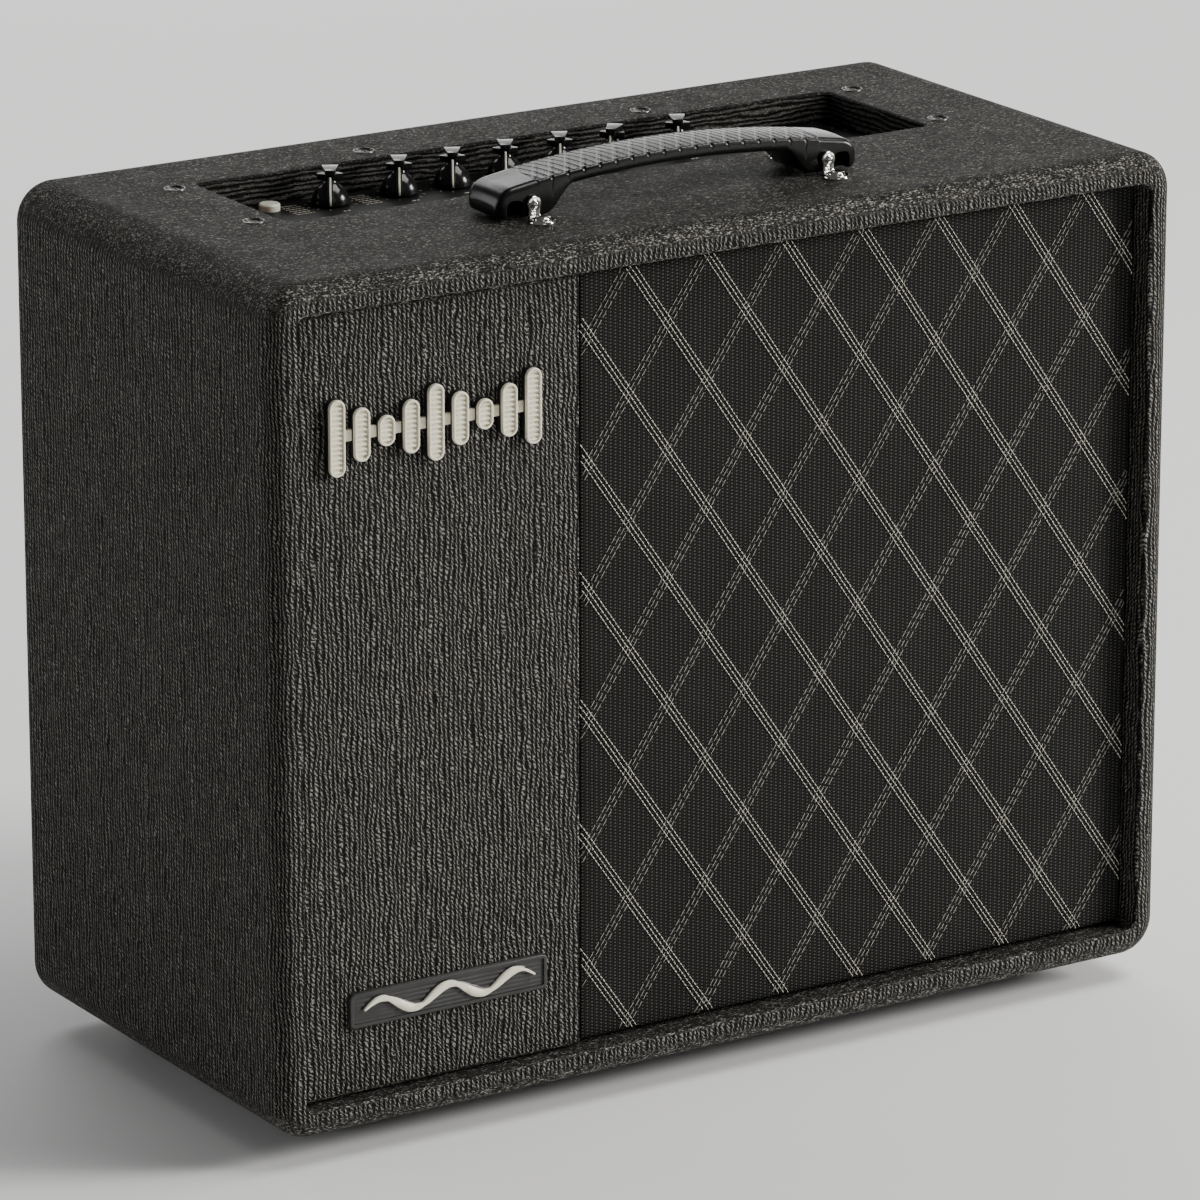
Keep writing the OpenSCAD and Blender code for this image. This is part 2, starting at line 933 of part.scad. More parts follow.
module circuit_components() {
    hang = pcb_under_z;
    color([0.2, 0.2, 0.22]) {
        for (p = concat([preset_place], effect_places)) {
            translate([p[0], p[1], board_top_z + 1.75])
                cube([6, 6, 3.5], center = true);
            translate([p[0], p[1], board_top_z])
                cylinder(r = 1.75, h = plunger_h);
        }
        for (x = [-20, -4, 12, 28])
            translate([x, 26, hang - 16])
                cylinder(r = 5, h = 16);
        for (x = [-110, -84, -58])
            span_box([x, 34, hang - 2.4], [x + 16, 50, hang]);
        for (x = [-36:9:36])
            span_box([x, 48, hang - 3], [x + 5, 58, hang]);
        span_box([lead_x - 6, -15, hang - 6], [lead_x + 6, -5, hang]);
    }
}

// Everything on the valve's own axis, which runs along X
module on_valve() {
    translate([valve_x, valve_y, valve_z])
        rotate([0, 90, 0])
            children();
}

module valve() {
    color([0.85, 0.88, 0.9])
        on_valve() {
            rotate_extrude()
                polygon([
                    [0, 0], [9.6, 0], [10.5, 2], [10.5, 40], [9.4, 44.5], [6.5, 48], [2.4, 49.6],
                    [1.2, 53], [0, 53.4]
                ]);
            for (i = [0:8])
                rotate([0, 0, 36 * i])
                    translate([6, 0, -5])
                        cylinder(r = 0.5, h = 6);
        }
}

module valve_socket() {
    color([0.86, 0.84, 0.78])
        difference() {
            union() {
                on_valve()
                    translate([0, 0, -8])
                        cylinder(r = 11, h = 7.6);
                span_box(
                    [valve_x - 8, valve_y - 8, chassis_bottom_z + sheet_t],
                    [valve_x - 0.4, valve_y + 8, valve_z]
                );
            }
            on_valve()
                for (i = [0:8])
                    rotate([0, 0, 36 * i])
                        translate([6, 0, -6])
                            cylinder(r = 0.55, h = 10);
        }
}

module heatsink() {
    base_z = chassis_bottom_z + sheet_t;
    color([0.7, 0.7, 0.72]) {
        span_box([-30, -10, base_z], [30, 14, base_z + 4]);
        for (i = [0:8])
            span_box([-30 + 7.25 * i, -10, base_z + 3.9], [-28 + 7.25 * i, 14, base_z + 22]);
    }
}

// ---- Loudspeaker ----

// Outer profile of the basket, in radius and depth
module basket_outline() {
    polygon([
        [basket_r, 0], [basket_r, 2], [116, 2], [110, 14], [66, 44], [59.2, 44], [59.2, 55.2],
        [30, 55.2], [30, 54], [58, 54], [58, 42.8], [64.6, 42.8], [108.6, 13], [114, 2], [114, 0]
    ]);
}

module speaker_basket() {
    color([0.12, 0.12, 0.13])
        on_speaker()
            difference() {
                rotate_extrude()
                    basket_outline();
                for (i = [0:5])
                    rotate([0, 0, 60 * i])
                        translate([86, 0, 3])
                            cylinder(r = 17, h = 50);
                for (i = [0:7])
                    rotate([0, 0, 45 * i + 22.5])
                        translate([122.5, 0, -1])
                            cylinder(r = 2.3, h = 4);
            }
}

module speaker_gasket() {
    color([0.15, 0.13, 0.11])
        on_speaker()
            difference() {
                translate([0, 0, -1.5])
                    cylinder(r = basket_r, h = 1.5);
                translate([0, 0, -2])
                    cylinder(r = 117.2, h = 3);
                for (i = [0:7])
                    rotate([0, 0, 45 * i + 22.5])
                        translate([122.5, 0, -2])
                            cylinder(r = 2.3, h = 3);
            }
}

module speaker_magnet() {
    color([0.16, 0.16, 0.17])
        on_speaker()
            difference() {
                translate([0, 0, 61.2])
                    cylinder(r = magnet_r, h = 15);
                translate([0, 0, 60])
                    cylinder(r = 28, h = 18);
            }
}

// Steel top plate, and the back plate with the pole on it
module speaker_pole() {
    color([0.45, 0.45, 0.47])
        on_speaker() {
            difference() {
                translate([0, 0, 55.2])
                    cylinder(r = 52, h = 6);
                translate([0, 0, 54])
                    cylinder(r = 20.9, h = 9);
            }
            difference() {
                union() {
                    translate([0, 0, 76.2])
                        cylinder(r = 52, h = 6);
                    translate([0, 0, 55])
                        cylinder(r = 18.2, h = 22);
                }
                translate([0, 0, 50])
                    cylinder(r = 6, h = 40);
            }
        }
}

module speaker_cone() {
    color([0.13, 0.12, 0.11])
        on_speaker()
            rotate_extrude()
                polygon([
                    [101, -1], [101, 0], [60, 21.5], [20.4, 38], [19.5, 38], [19.5, 37.2], [59.6, 20.4],
                    [100.4, -1]
                ]);
}

module dust_cap() {
    cap_r = 26;
    cap_depth = 34.4;
    color([0.1, 0.09, 0.09])
        on_speaker()
            rotate_extrude()
                polygon([
                    [cap_r, cap_depth], [22, cap_depth - 3.6], [14, cap_depth - 6.8],
                    [0, cap_depth - 8.4], [0, cap_depth - 7.6], [13.8, cap_depth - 6],
                    [21.4, cap_depth - 2.9], [cap_r - 0.8, cap_depth]
                ]);
}

// One half-roll between the cone's edge and the flange
module cone_surround() {
    roll_r = 5.6;
    skin = 0.6;
    centre_r = 107.6;
    outer = [for (a = [0:15:180]) [centre_r + roll_r * cos(a), -1 - roll_r * sin(a)]];
    inner = [for (a = [180:-15:0]) [centre_r + (roll_r - skin) * cos(a), -1 - (roll_r - skin) * sin(a)]];
    color([0.09, 0.09, 0.09])
        on_speaker()
            rotate_extrude()
                polygon(concat(
                    [[117, -0.1], [117, -1]],
                    outer,
                    [[101.1, -1], [101.1, -0.3]],
                    inner,
                    [[centre_r + roll_r - skin, -0.1]]
                ));
}

// Corrugated disc that centres the voice coil
module spider() {
    ridges = 6;
    low_r = 19.6;
    high_r = 63.6;
    skin = 0.7;
    depth = 41.4;
    wave = [
        for (i = [0:ridges * 2])
            [low_r + (high_r - low_r) * i / (ridges * 2), depth + (i % 2 == 0 ? 0.6 : -0.6)]
    ];
    back = [for (i = [ridges * 2:-1:0]) wave[i] + [0, skin]];
    color([0.72, 0.62, 0.35])
        on_speaker()
            rotate_extrude()
                polygon(concat(wave, back));
}

module voice_coil() {
    color([0.72, 0.45, 0.2])
        on_speaker()
            difference() {
                union() {
                    translate([0, 0, 36])
                        cylinder(r = 19.4, h = 31);
                    translate([0, 0, 53])
                        cylinder(r = 20.2, h = 13);
                }
                translate([0, 0, 35])
                    cylinder(r = 18.9, h = 33);
            }
}

module speaker_terminals() {
    color([0.35, 0.2, 0.1])
        difference() {
            span_box(
                [lead_x - 9, flange_y + 20, speaker_z + 84],
                [lead_x + 9, flange_y + 31, lead_start_z]
            );
            on_speaker()
                rotate_extrude()
                    polygon([[0, -5], [116, -5], [116, 2], [110, 14], [66, 44], [0, 44]]);
        }
}

// ---- The lead from the terminals up into the chassis ----

function lead_point(i) = [lead_x, lead_route[i][0], lead_start_z + lead_route[i][1]];
function lead_direction(i) =
    let (d = lead_point(min(i + 1, len(lead_route) - 1)) - lead_point(max(i - 1, 0)))
    d / norm(d);
function lead_ring(i) = [
    for (k = [0:lead_sides - 1])
        let (a = 360 * k / lead_sides)
        lead_point(i) + lead_r * (cos(a) * [1, 0, 0] + sin(a) * cross(lead_direction(i), [1, 0, 0]))
];

module speaker_lead() {
    rings = len(lead_route);
    points = [for (i = [0:rings - 1]) each lead_ring(i)];
    sides = [
        for (i = [0:rings - 2], k = [0:lead_sides - 1])
            let (a = i * lead_sides + k, b = i * lead_sides + (k + 1) % lead_sides)
            [a, b, b + lead_sides, a + lead_sides]
    ];
    start_cap = [for (k = [lead_sides - 1:-1:0]) k];
    end_cap = [for (k = [0:lead_sides - 1]) (rings - 1) * lead_sides + k];
    color([0.05, 0.05, 0.05])
        polyhedron(points, concat(sides, [start_cap], [end_cap]));
}

// ---- Nodes ----

top_board();
bottom_board();
side_boards();
vinyl_covering();
baffle_board();
front_strip();
grille_frame();
grille_cloth();
back_panel();
back_battens();
port_tube();
rubber_feet();
wood_screws();
badge();
nameplate();
handle_grip();
handle_core();
handle_brackets();
handle_screws();
control_panel();
chassis_tray();
chassis_rear();
chassis_gasket();
cup_washers();
chassis_screws();
knob(1);  // knob_1
knob(2);  // knob_2
knob(3);  // knob_3
knob(4);  // knob_4
knob(5);  // knob_5
knob(6);  // knob_6
knob(7);  // knob_7
potentiometers();
pot_nuts();
jack_sockets();
jack_nuts();
button(preset_place);  // preset_button
button(effect_places[0]);  // effect_button_1
button(effect_places[1]);  // effect_button_2
button(effect_places[2]);  // effect_button_3
led_lenses();
power_rocker();
power_switch_body();
power_inlet();
circuit_board();
circuit_components();
valve();
valve_socket();
heatsink();
speaker_basket();
speaker_gasket();
speaker_magnet();
speaker_pole();
speaker_cone();
dust_cap();
cone_surround();
spider();
voice_coil();
speaker_terminals();
speaker_lead();
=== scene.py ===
import json
import math
import random

import bmesh
import bpy
from mathutils import Matrix, Vector, noise
from mathutils.geometry import delaunay_2d_cdt


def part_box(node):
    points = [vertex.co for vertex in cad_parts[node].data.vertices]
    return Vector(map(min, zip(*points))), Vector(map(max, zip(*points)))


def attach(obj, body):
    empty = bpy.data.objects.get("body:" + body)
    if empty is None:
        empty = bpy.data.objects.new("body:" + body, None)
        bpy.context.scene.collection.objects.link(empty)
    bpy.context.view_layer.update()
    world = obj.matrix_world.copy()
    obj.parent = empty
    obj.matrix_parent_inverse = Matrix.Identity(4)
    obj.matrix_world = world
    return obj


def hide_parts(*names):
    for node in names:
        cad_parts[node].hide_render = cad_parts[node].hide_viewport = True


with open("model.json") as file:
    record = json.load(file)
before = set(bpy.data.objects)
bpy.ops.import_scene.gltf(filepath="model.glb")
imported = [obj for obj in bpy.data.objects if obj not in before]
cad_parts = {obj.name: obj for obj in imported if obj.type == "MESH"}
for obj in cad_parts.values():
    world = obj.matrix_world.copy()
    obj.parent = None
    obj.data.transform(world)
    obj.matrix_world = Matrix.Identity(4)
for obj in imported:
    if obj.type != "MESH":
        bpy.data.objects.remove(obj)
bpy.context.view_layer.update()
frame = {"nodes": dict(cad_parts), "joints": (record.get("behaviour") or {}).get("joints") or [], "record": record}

# Looks of the guitar amplifier combo. Everything is in metres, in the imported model's own frame.
MM = 0.001
TURN = 2 * math.pi
dice = random.Random(11)

cover_low, cover_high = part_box("vinyl_covering")
baffle_low, baffle_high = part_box("baffle_board")
strip_low, strip_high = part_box("front_strip")
cloth_low, cloth_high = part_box("grille_cloth")
panel_low, panel_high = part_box("control_panel")
gasket_low, gasket_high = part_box("chassis_gasket")
badge_low, badge_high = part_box("badge")
plate_low, plate_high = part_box("nameplate")
grip_low, grip_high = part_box("handle_grip")
TOP = cover_high.z
FRONT = cover_low.y
BACK = cover_high.y


# ---- Materials ----

class Finish:
    """One procedural material. Its texture coordinates are the object's own, in millimetres."""

    def __init__(self, name, roughness=0.5, **sockets):
        self.material = bpy.data.materials.new(name)
        self.material.use_nodes = True
        self.tree = self.material.node_tree
        self.shader = self.tree.nodes["Principled BSDF"]
        self.shader.inputs["Roughness"].default_value = roughness
        for key, value in sockets.items():
            self.shader.inputs[key.replace("_", " ")].default_value = value
        self.coordinates = self.tree.nodes.new("ShaderNodeTexCoord")
        self.place = self.scaled(self.coordinates.outputs["Object"], (1000, 1000, 1000))

    def node(self, kind, inputs=None, **settings):
        node = self.tree.nodes.new("ShaderNode" + kind)
        for key, value in settings.items():
            setattr(node, key, value)
        for key, value in (inputs or {}).items():
            self.feed(node.inputs[key], value)
        return node

    def feed(self, socket, value):
        if isinstance(value, bpy.types.NodeSocket):
            self.tree.links.new(value, socket)
        else:
            socket.default_value = value

    def scaled(self, vector, factors):
        return self.node("VectorMath", {0: vector, 1: factors}, operation="MULTIPLY").outputs[0]

    def axes(self):
        split = self.node("SeparateXYZ", {0: self.place})
        return [split.outputs[i] for i in range(3)]

    def math(self, operation, a, b=0.0, c=0.0):
        return self.node("Math", {0: a, 1: b, 2: c}, operation=operation).outputs[0]

    def noise(self, size, detail=2.0, stretch=(1, 1, 1), roughness=0.5):
        """Noise whose lumps are about size millimetres across, and longer by stretch."""
        factors = tuple(1 / (size * s) for s in stretch)
        inputs = {"Vector": self.scaled(self.place, factors), "Scale": 1.0, "Detail": detail,
                  "Roughness": roughness}
        return self.node("TexNoise", inputs).outputs[0]

    def wave(self, position, pitch):
        """0 to 1 and back once in every pitch along position."""
        angle = self.times(position, TURN / pitch)
        return self.mul_add(self.math("SINE", angle), 0.5, 0.5)

    def times(self, a, b):
        return self.math("MULTIPLY", a, b)

    def plus(self, a, b):
        return self.math("ADD", a, b)

    def minus(self, a, b):
        return self.math("SUBTRACT", a, b)

    def mul_add(self, a, b, c):
        return self.math("MULTIPLY_ADD", a, b, c)

    def ramp(self, factor, stops):
        node = self.node("ValToRGB", {0: factor})
        elements = node.color_ramp.elements
        while len(elements) < len(stops):
            elements.new(0.5)
        for element, (position, colour) in zip(elements, stops):
            element.position = position
            grey = isinstance(colour, (int, float))
            element.color = (colour,) * 3 + (1,) if grey else tuple(colour) + (1,)
        return node.outputs[0]

    def mix(self, factor, a, b):
        inputs = {0: factor, 6: a, 7: b}
        return self.node("Mix", inputs, data_type="RGBA").outputs[2]

    def blend(self, factor, a, b):
        return self.node("Mix", {0: factor, 2: a, 3: b}).outputs[0]

    def edges(self, radius, low=0.02, high=0.25):
        """0 on flats, 1 along edges, found from how a rounded normal would differ."""
        soft = self.node("Bevel", {"Radius": radius * MM}, samples=4).outputs[0]
        hard = self.node("NewGeometry").outputs["Normal"]
        dot = self.node("VectorMath", {0: soft, 1: hard}, operation="DOT_PRODUCT").outputs["Value"]
        return self.ramp(self.minus(1.0, dot), [(low, 0.0), (high, 1.0)])

    def colour(self, value):
        self.feed(self.shader.inputs["Base Color"], value)

    def gloss(self, value):
        self.feed(self.shader.inputs["Roughness"], value)

    def bump(self, height, depth, strength=1.0):
        inputs = {"Height": height, "Distance": depth * MM, "Strength": strength}
        self.feed(self.shader.inputs["Normal"], self.node("Bump", inputs).outputs[0])


def shade(colour, factor):
    return tuple(min(1.0, c * factor) for c in colour)


def solid(name, colour, roughness, grain=0.6, relief=0.05, mottle=6.0, variation=0.3, wear=0.0,
          stretch=(1, 1, 1), **sockets):
    """Anything of one stuff: mottled colour, fine grain, uneven gloss and paler edges, which are wear and, on the
    dark steel, also a painted highlight along the rims.
    """
    f = Finish(name, roughness, **sockets)
    patches = f.noise(mottle, 3.0, stretch)
    speck = f.noise(grain, 3.0, stretch, 0.6)
    both = f.mul_add(speck, 0.4, f.times(patches, 0.6))
    body = f.ramp(both, [(0.3, shade(colour, 1 - variation)), (0.7, shade(colour, 1 + variation))])
    if wear:
        # Paler edges: wear, and on the dark steel also a painted highlight along the rims.
        wear_and_glint_mask = f.times(f.edges(0.5), f.ramp(f.noise(1.5, 3.0), [(0.35, 0.0), (0.6, wear)]))
        wear_and_glint_colour = shade(colour, 1.6) if max(colour) > 0.2 else tuple(c * 1.5 + 0.05 for c in colour)
        body = f.mix(wear_and_glint_mask, body, wear_and_glint_colour + (1,))
    f.colour(body)
    f.gloss(f.ramp(patches, [(0.3, max(0.02, roughness - 0.08)), (0.75, min(1.0, roughness + 0.1))]))
    f.bump(speck, relief)
    return f.material


COLUMN = 2.35
BEAD_UP, BEAD_LEVEL = 2.2, 6.0


def vinyl(name, ribs_run="up", tone=1.0):
    """Embossed covering: columns of slanted beads, upright or level, and specks on top, paler on the raised
    threads and specks as painted highlights and darker in the valleys as painted shade.
    """
    f = Finish(name, 0.6, Specular_IOR_Level=0.06)
    x, y, z = f.axes()
    half_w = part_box("side_boards")[1].x / MM
    inward = f.times(f.minus(f.math("ABSOLUTE", x), half_w), f.math("SIGN", y))
    girth = f.minus(f.plus(y, half_w), inward)
    level = f.times(f.math("SIGN", x), girth)      # runs on round all four upright edges
    up = ribs_run == "up"
    long_way, across = (z, level) if up else (level, z)
    stretch = (1, 1, 2.6) if up else (3.5, 3.5, 1)
    slow = f.mul_add(f.noise(9.0, 2.0, stretch), 5.0, across)
    bent = f.mul_add(f.noise(2.7, 2.0, stretch), 1.9, f.mul_add(f.noise(0.9, 1.0), 1.0, slow))
    rib = f.wave(bent, COLUMN)
    index = f.math("FLOOR", f.mul_add(bent, 1 / COLUMN, 0.25))
    lean = f.mul_add(bent, 1.5, f.mul_add(index, 0.97, long_way))
    bead = f.wave(f.mul_add(f.noise(2.0, 1.5), 3.4, lean), BEAD_UP if up else BEAD_LEVEL)
    fibre = f.noise(0.45, 2.0, (1, 1, 1.3) if up else (2.4, 2.4, 1), 0.6)
    patch = f.noise(6.0, 2.0, (1, 1, 1.2))
    depth = f.mul_add(patch, 0.5, 0.75)
    parted = f.mul_add(bead, 0.75 if up else 0.2, 0.25 if up else 0.75)
    beads = f.times(f.math("POWER", rib, 0.7), parted)
    embossed = f.mul_add(f.minus(beads, 0.3), depth, 0.36)
    threads = f.mul_add(f.minus(fibre, 0.5), 1.15, embossed)
    # Pale specks on the top are painted glints on the pebbles; the same field also gives their bump.
    speck = f.noise(0.56, 1.5, (2.2, 1.2, 1.2), 0.6)
    lump = f.noise(2.6, 1.5, (1.5, 1, 1))
    pebble_glints = f.mul_add(f.minus(lump, 0.5), 0.25, speck)
    facing_up = f.node("SeparateXYZ", {0: f.coordinates.outputs["Normal"]}).outputs[2]
    flat_top = f.ramp(f.math("ABSOLUTE", facing_up), [(0.10, 0.0), (0.42, 1.0)])
    # Fewer pale specks on the flattest top leave the brightest ones on the rounded edges: a painted highlight.
    fewer_glints_on_flats = f.ramp(f.math("ABSOLUTE", facing_up), [(0.80, 0.0), (0.99, 1.0)])
    raised = f.minus(pebble_glints, f.times(fewer_glints_on_flats, 0.06))
    tips = f.blend(flat_top, f.ramp(threads, [(0.06, 0.0), (0.92, 1.0)]),
                   f.ramp(raised, [(0.34, 0.14), (0.52, 0.42), (0.68, 1.0)]))
    # Colour by height: the dark valleys are painted shade and the pale tips painted highlights; tone below 1
    # darkens the whole copy as painted shade.
    painted_shade_to_highlight = [(0.0, 0.003), (0.22, 0.012), (0.44, 0.040), (0.70, 0.105), (1.0, 0.33)]
    warm = (1.0, 0.965, 0.885)
    f.colour(f.ramp(tips, [(p, shade(warm, v * tone)) for p, v in painted_shade_to_highlight]))
    f.gloss(f.ramp(f.noise(14.0, 2.0), [(0.3, 0.55), (0.7, 0.68)]))
    f.bump(f.blend(flat_top, threads, f.times(raised, 1.1)), 0.9, 1.0)
    return f.material


def grille_weave():
    """Near-black cloth: columns of small knots on every second warp line."""
    f = Finish("grille_weave", 0.9, Specular_IOR_Level=0.12)
    x, y, z = f.axes()
    column = f.wave(x, 2.35)
    stagger = f.times(f.math("FLOOR", f.math("DIVIDE", x, 2.35)), 0.75)
    knot = f.wave(f.plus(z, stagger), 1.5)
    dots = f.times(f.ramp(column, [(0.45, 0.0), (0.9, 1.0)]), f.ramp(knot, [(0.35, 0.0), (0.85, 1.0)]))
    warp = f.ramp(f.wave(f.plus(x, 1.17), 2.35), [(0.88, 0.0), (1.0, 0.35)])
    weft = f.times(f.wave(z, 0.75), 0.12)
    height = f.plus(dots, f.plus(warp, weft))
    uneven = f.mul_add(f.noise(18.0, 3.0), 0.5, 0.72)
    tone = f.times(height, uneven)
    f.colour(f.ramp(tone, [(0.0, (0.005, 0.005, 0.0048)), (0.3, (0.012, 0.0118, 0.011)),
                           (1.0, (0.075, 0.073, 0.067))]))
    f.bump(height, 0.25, 0.8)
    return f.material


def thread_finish(name, colour):
    """Twisted yarn: slanting plies along every stitch."""
    f = Finish(name, 0.6, Sheen_Weight=0.3)
    x, y, z = f.axes()
    ply = f.wave(f.plus(f.times(x, 1.7), z), 0.55)
    tone = f.plus(f.times(ply, 0.6), f.times(f.noise(7.0, 2.0), 0.4))
    f.colour(f.ramp(tone, [(0.1, shade(colour, 0.55)), (0.8, colour)]))
    f.bump(ply, 0.08)
    return f.material


def chrome(name):
    """Plated steel: bright, with faint smears and a few fine marks."""
    f = Finish(name, 0.08, Metallic=1.0)
    smear = f.noise(3.0, 4.0)
    f.colour(f.ramp(smear, [(0.3, (0.72, 0.71, 0.68)), (0.7, (0.93, 0.92, 0.88))]))
    f.gloss(f.ramp(smear, [(0.35, 0.05), (0.8, 0.2)]))
    f.bump(f.noise(1.2, 3.0), 0.02)
    return f.material


def handle_finish():
    """Moulded handle: gloss black, its grooves dull, its edges paler for wear and as a painted highlight, and its
    raised diagonals painted pale as highlights.
    """
    f = Finish("handle_plastic", 0.24, Specular_IOR_Level=0.3)
    x, y, z = f.axes()
    up = f.node("SeparateXYZ", {0: f.coordinates.outputs["Normal"]}).outputs[2]
    strap_end = (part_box("handle_grip")[1].x - CAP_L) / MM
    on_strap = f.math("LESS_THAN", f.math("ABSOLUTE", x), strap_end)
    on_top = f.times(on_strap, f.ramp(up, [(0.6, 0.0), (0.85, 1.0)]))
    across = f.wave(f.mul_add(y, 0.17, f.plus(x, 1.0)), 4.0)
    slant = f.wave(f.mul_add(y, -0.64, f.plus(x, 2.0)), 8.0)
    groove = f.times(on_top, f.ramp(across, [(0.86, 0.0), (0.97, 1.0)]))
    # The raised diagonals are painted pale: a painted highlight along them.
    ridge = f.times(on_top, f.ramp(slant, [(0.93, 0.0), (0.99, 0.8)]))
    grain = f.noise(0.35, 3.0)
    rubbed = f.noise(11.0, 3.0, (2.5, 1, 1))
    body = f.ramp(rubbed, [(0.3, (0.004, 0.004, 0.004)), (0.75, (0.008, 0.0079, 0.0077))])
    # Paler edges: partly wear, partly a painted highlight along the front bevel.
    wear_and_glint_colour = f.mix(f.edges(0.6, 0.02, 0.3), body, (0.04, 0.039, 0.037, 1))
    f.colour(f.mix(ridge, wear_and_glint_colour, (0.16, 0.157, 0.147, 1)))
    shine = f.ramp(f.mul_add(grain, 0.3, f.times(rubbed, 0.7)), [(0.3, 0.18), (0.75, 0.32)])
    f.gloss(f.math("MINIMUM", f.mul_add(groove, 0.6, shine), 1.0))
    f.bump(grain, 0.03)
    return f.material


def panel_paint():
    """Satin black paint on the panel, with dust and faint rolling marks."""
    f = Finish("panel_paint", 0.5, Specular_IOR_Level=0.12)
    grain = f.noise(0.3, 3.0)
    dust = f.ramp(f.noise(0.9, 3.0), [(0.66, 0.0), (0.78, 0.35)])
    blacks = [(0.3, (0.005, 0.005, 0.005)), (0.7, (0.009, 0.009, 0.0087))]
    base = f.ramp(f.noise(22.0, 3.0, (4, 1, 1)), blacks)
    f.colour(f.mix(dust, base, (0.05, 0.05, 0.048, 1)))
    f.gloss(f.ramp(grain, [(0.3, 0.45), (0.7, 0.6)]))
    f.bump(grain, 0.04)
    return f.material


def valve_glass():
    f = Finish("valve_glass", 0.03, Transmission_Weight=0.9, IOR=1.47)
    f.colour(f.ramp(f.noise(14.0, 2.0), [(0.3, (0.75, 0.78, 0.8)), (0.7, (0.95, 0.97, 0.98))]))
    f.bump(f.noise(5.0, 2.0), 0.05)
    return f.material


def wood(name, colour, roughness):
    """Board: long grain along X, with darker pores."""
    f = Finish(name, roughness)
    rings = f.noise(5.0, 4.0, (14, 1, 1))
    pores = f.noise(0.7, 3.0, (9, 1, 1))
    tone = f.mul_add(pores, 0.45, f.times(rings, 0.55))
    f.colour(f.ramp(tone, [(0.32, shade(colour, 0.6)), (0.5, colour), (0.68, shade(colour, 1.25))]))
    f.bump(tone, 0.12)
    return f.material


PLAIN_STUFF = {          # name: colour or grey, roughness, and what else solid() takes
    "baffle_black": (0.03, 0.8, dict(relief=0.15, stretch=(5, 1, 1))),
    "panel_board": (0.018, 0.55, dict(grain=0.9, relief=0.22, mottle=30, wear=0.4)),
    "cream_plastic": ((0.86, 0.82, 0.66), 0.38, dict(grain=0.35, relief=0.04, mottle=4, variation=0.10,
        wear=0.25)),
    "badge_black": (0.012, 0.35, dict(grain=0.4, relief=0.02, wear=0.3)),
    "plate_black": ((0.022, 0.022, 0.0215), 0.45, dict(grain=0.4, relief=0.03, wear=0.35)),
    "strip_steel": ((0.5, 0.5, 0.52), 0.35, dict(stretch=(10, 1, 1), Metallic=1.0)),
    "panel_print": ((0.34, 0.32, 0.26), 0.5, dict(grain=0.2, relief=0.01, mottle=2, variation=0.25)),
    "zinc_steel": ((0.52, 0.53, 0.54), 0.42, dict(grain=0.8, relief=0.02, mottle=9, variation=0.14,
        wear=0.4, Metallic=1.0)),
    "foam_black": (0.02, 0.95, dict(grain=0.5, relief=0.3)),
    # Its edges paled almost fully: partly wear, partly a painted highlight along the screw and washer rims.
    "black_steel": ((0.09, 0.088, 0.083), 0.28, dict(grain=0.5, relief=0.02, wear=0.95, Metallic=0.9)),
    "knob_plastic": (0.008, 0.16, dict(grain=0.8, relief=0.008, mottle=5, wear=0.25,
        Specular_IOR_Level=0.35)),
    "pot_steel": ((0.45, 0.45, 0.46), 0.4, dict(relief=0.02, wear=0.5, Metallic=1.0)),
    "jack_plastic": (0.016, 0.5, dict(grain=0.4, relief=0.05, wear=0.4)),
    "ivory_plastic": ((0.62, 0.60, 0.50), 0.36, dict(grain=0.5, relief=0.03, mottle=3, variation=0.10,
        wear=0.2, Subsurface_Weight=0.15)),
    "lamp_red": ((0.35, 0.012, 0.01), 0.15, dict(grain=0.8, relief=0.01, Transmission_Weight=0.4)),
    "switch_plastic": (0.014, 0.3, dict(grain=0.5, relief=0.02, wear=0.35)),
    "circuit_green": ((0.015, 0.10, 0.045), 0.35, dict(grain=1.2, relief=0.05, mottle=8)),
    "component_black": ((0.02, 0.02, 0.022), 0.5, dict(wear=0.3)),
    "socket_ceramic": ((0.72, 0.69, 0.62), 0.6, dict(variation=0.1, relief=0.06)),
    "bare_aluminium": ((0.6, 0.6, 0.62), 0.38, dict(stretch=(1, 8, 1), relief=0.03, Metallic=1.0)),
    "basket_paint": ((0.02, 0.02, 0.022), 0.4, dict(relief=0.04, wear=0.4)),
    "gasket_card": ((0.08, 0.065, 0.05), 0.9, dict(relief=0.1)),
    "ferrite": ((0.05, 0.05, 0.053), 0.55, dict(relief=0.05, wear=0.3)),
    "cone_paper": ((0.035, 0.032, 0.03), 0.9, dict(grain=0.9, relief=0.2)),
    "surround_cloth": (0.02, 0.8, dict(grain=0.7, relief=0.15)),
    "spider_cloth": ((0.5, 0.38, 0.18), 0.8, dict(grain=0.6, relief=0.15)),
    "copper_wire": ((0.6, 0.3, 0.13), 0.3, dict(stretch=(1, 0.3, 1), Metallic=1.0)),
    "tag_board": ((0.22, 0.12, 0.055), 0.55, dict(relief=0.05)),
    "lead_plastic": (0.015, 0.5, dict(grain=0.5, relief=0.04)),
    "foot_rubber": (0.016, 0.85, dict(grain=0.6, relief=0.12, wear=0.6)),
}


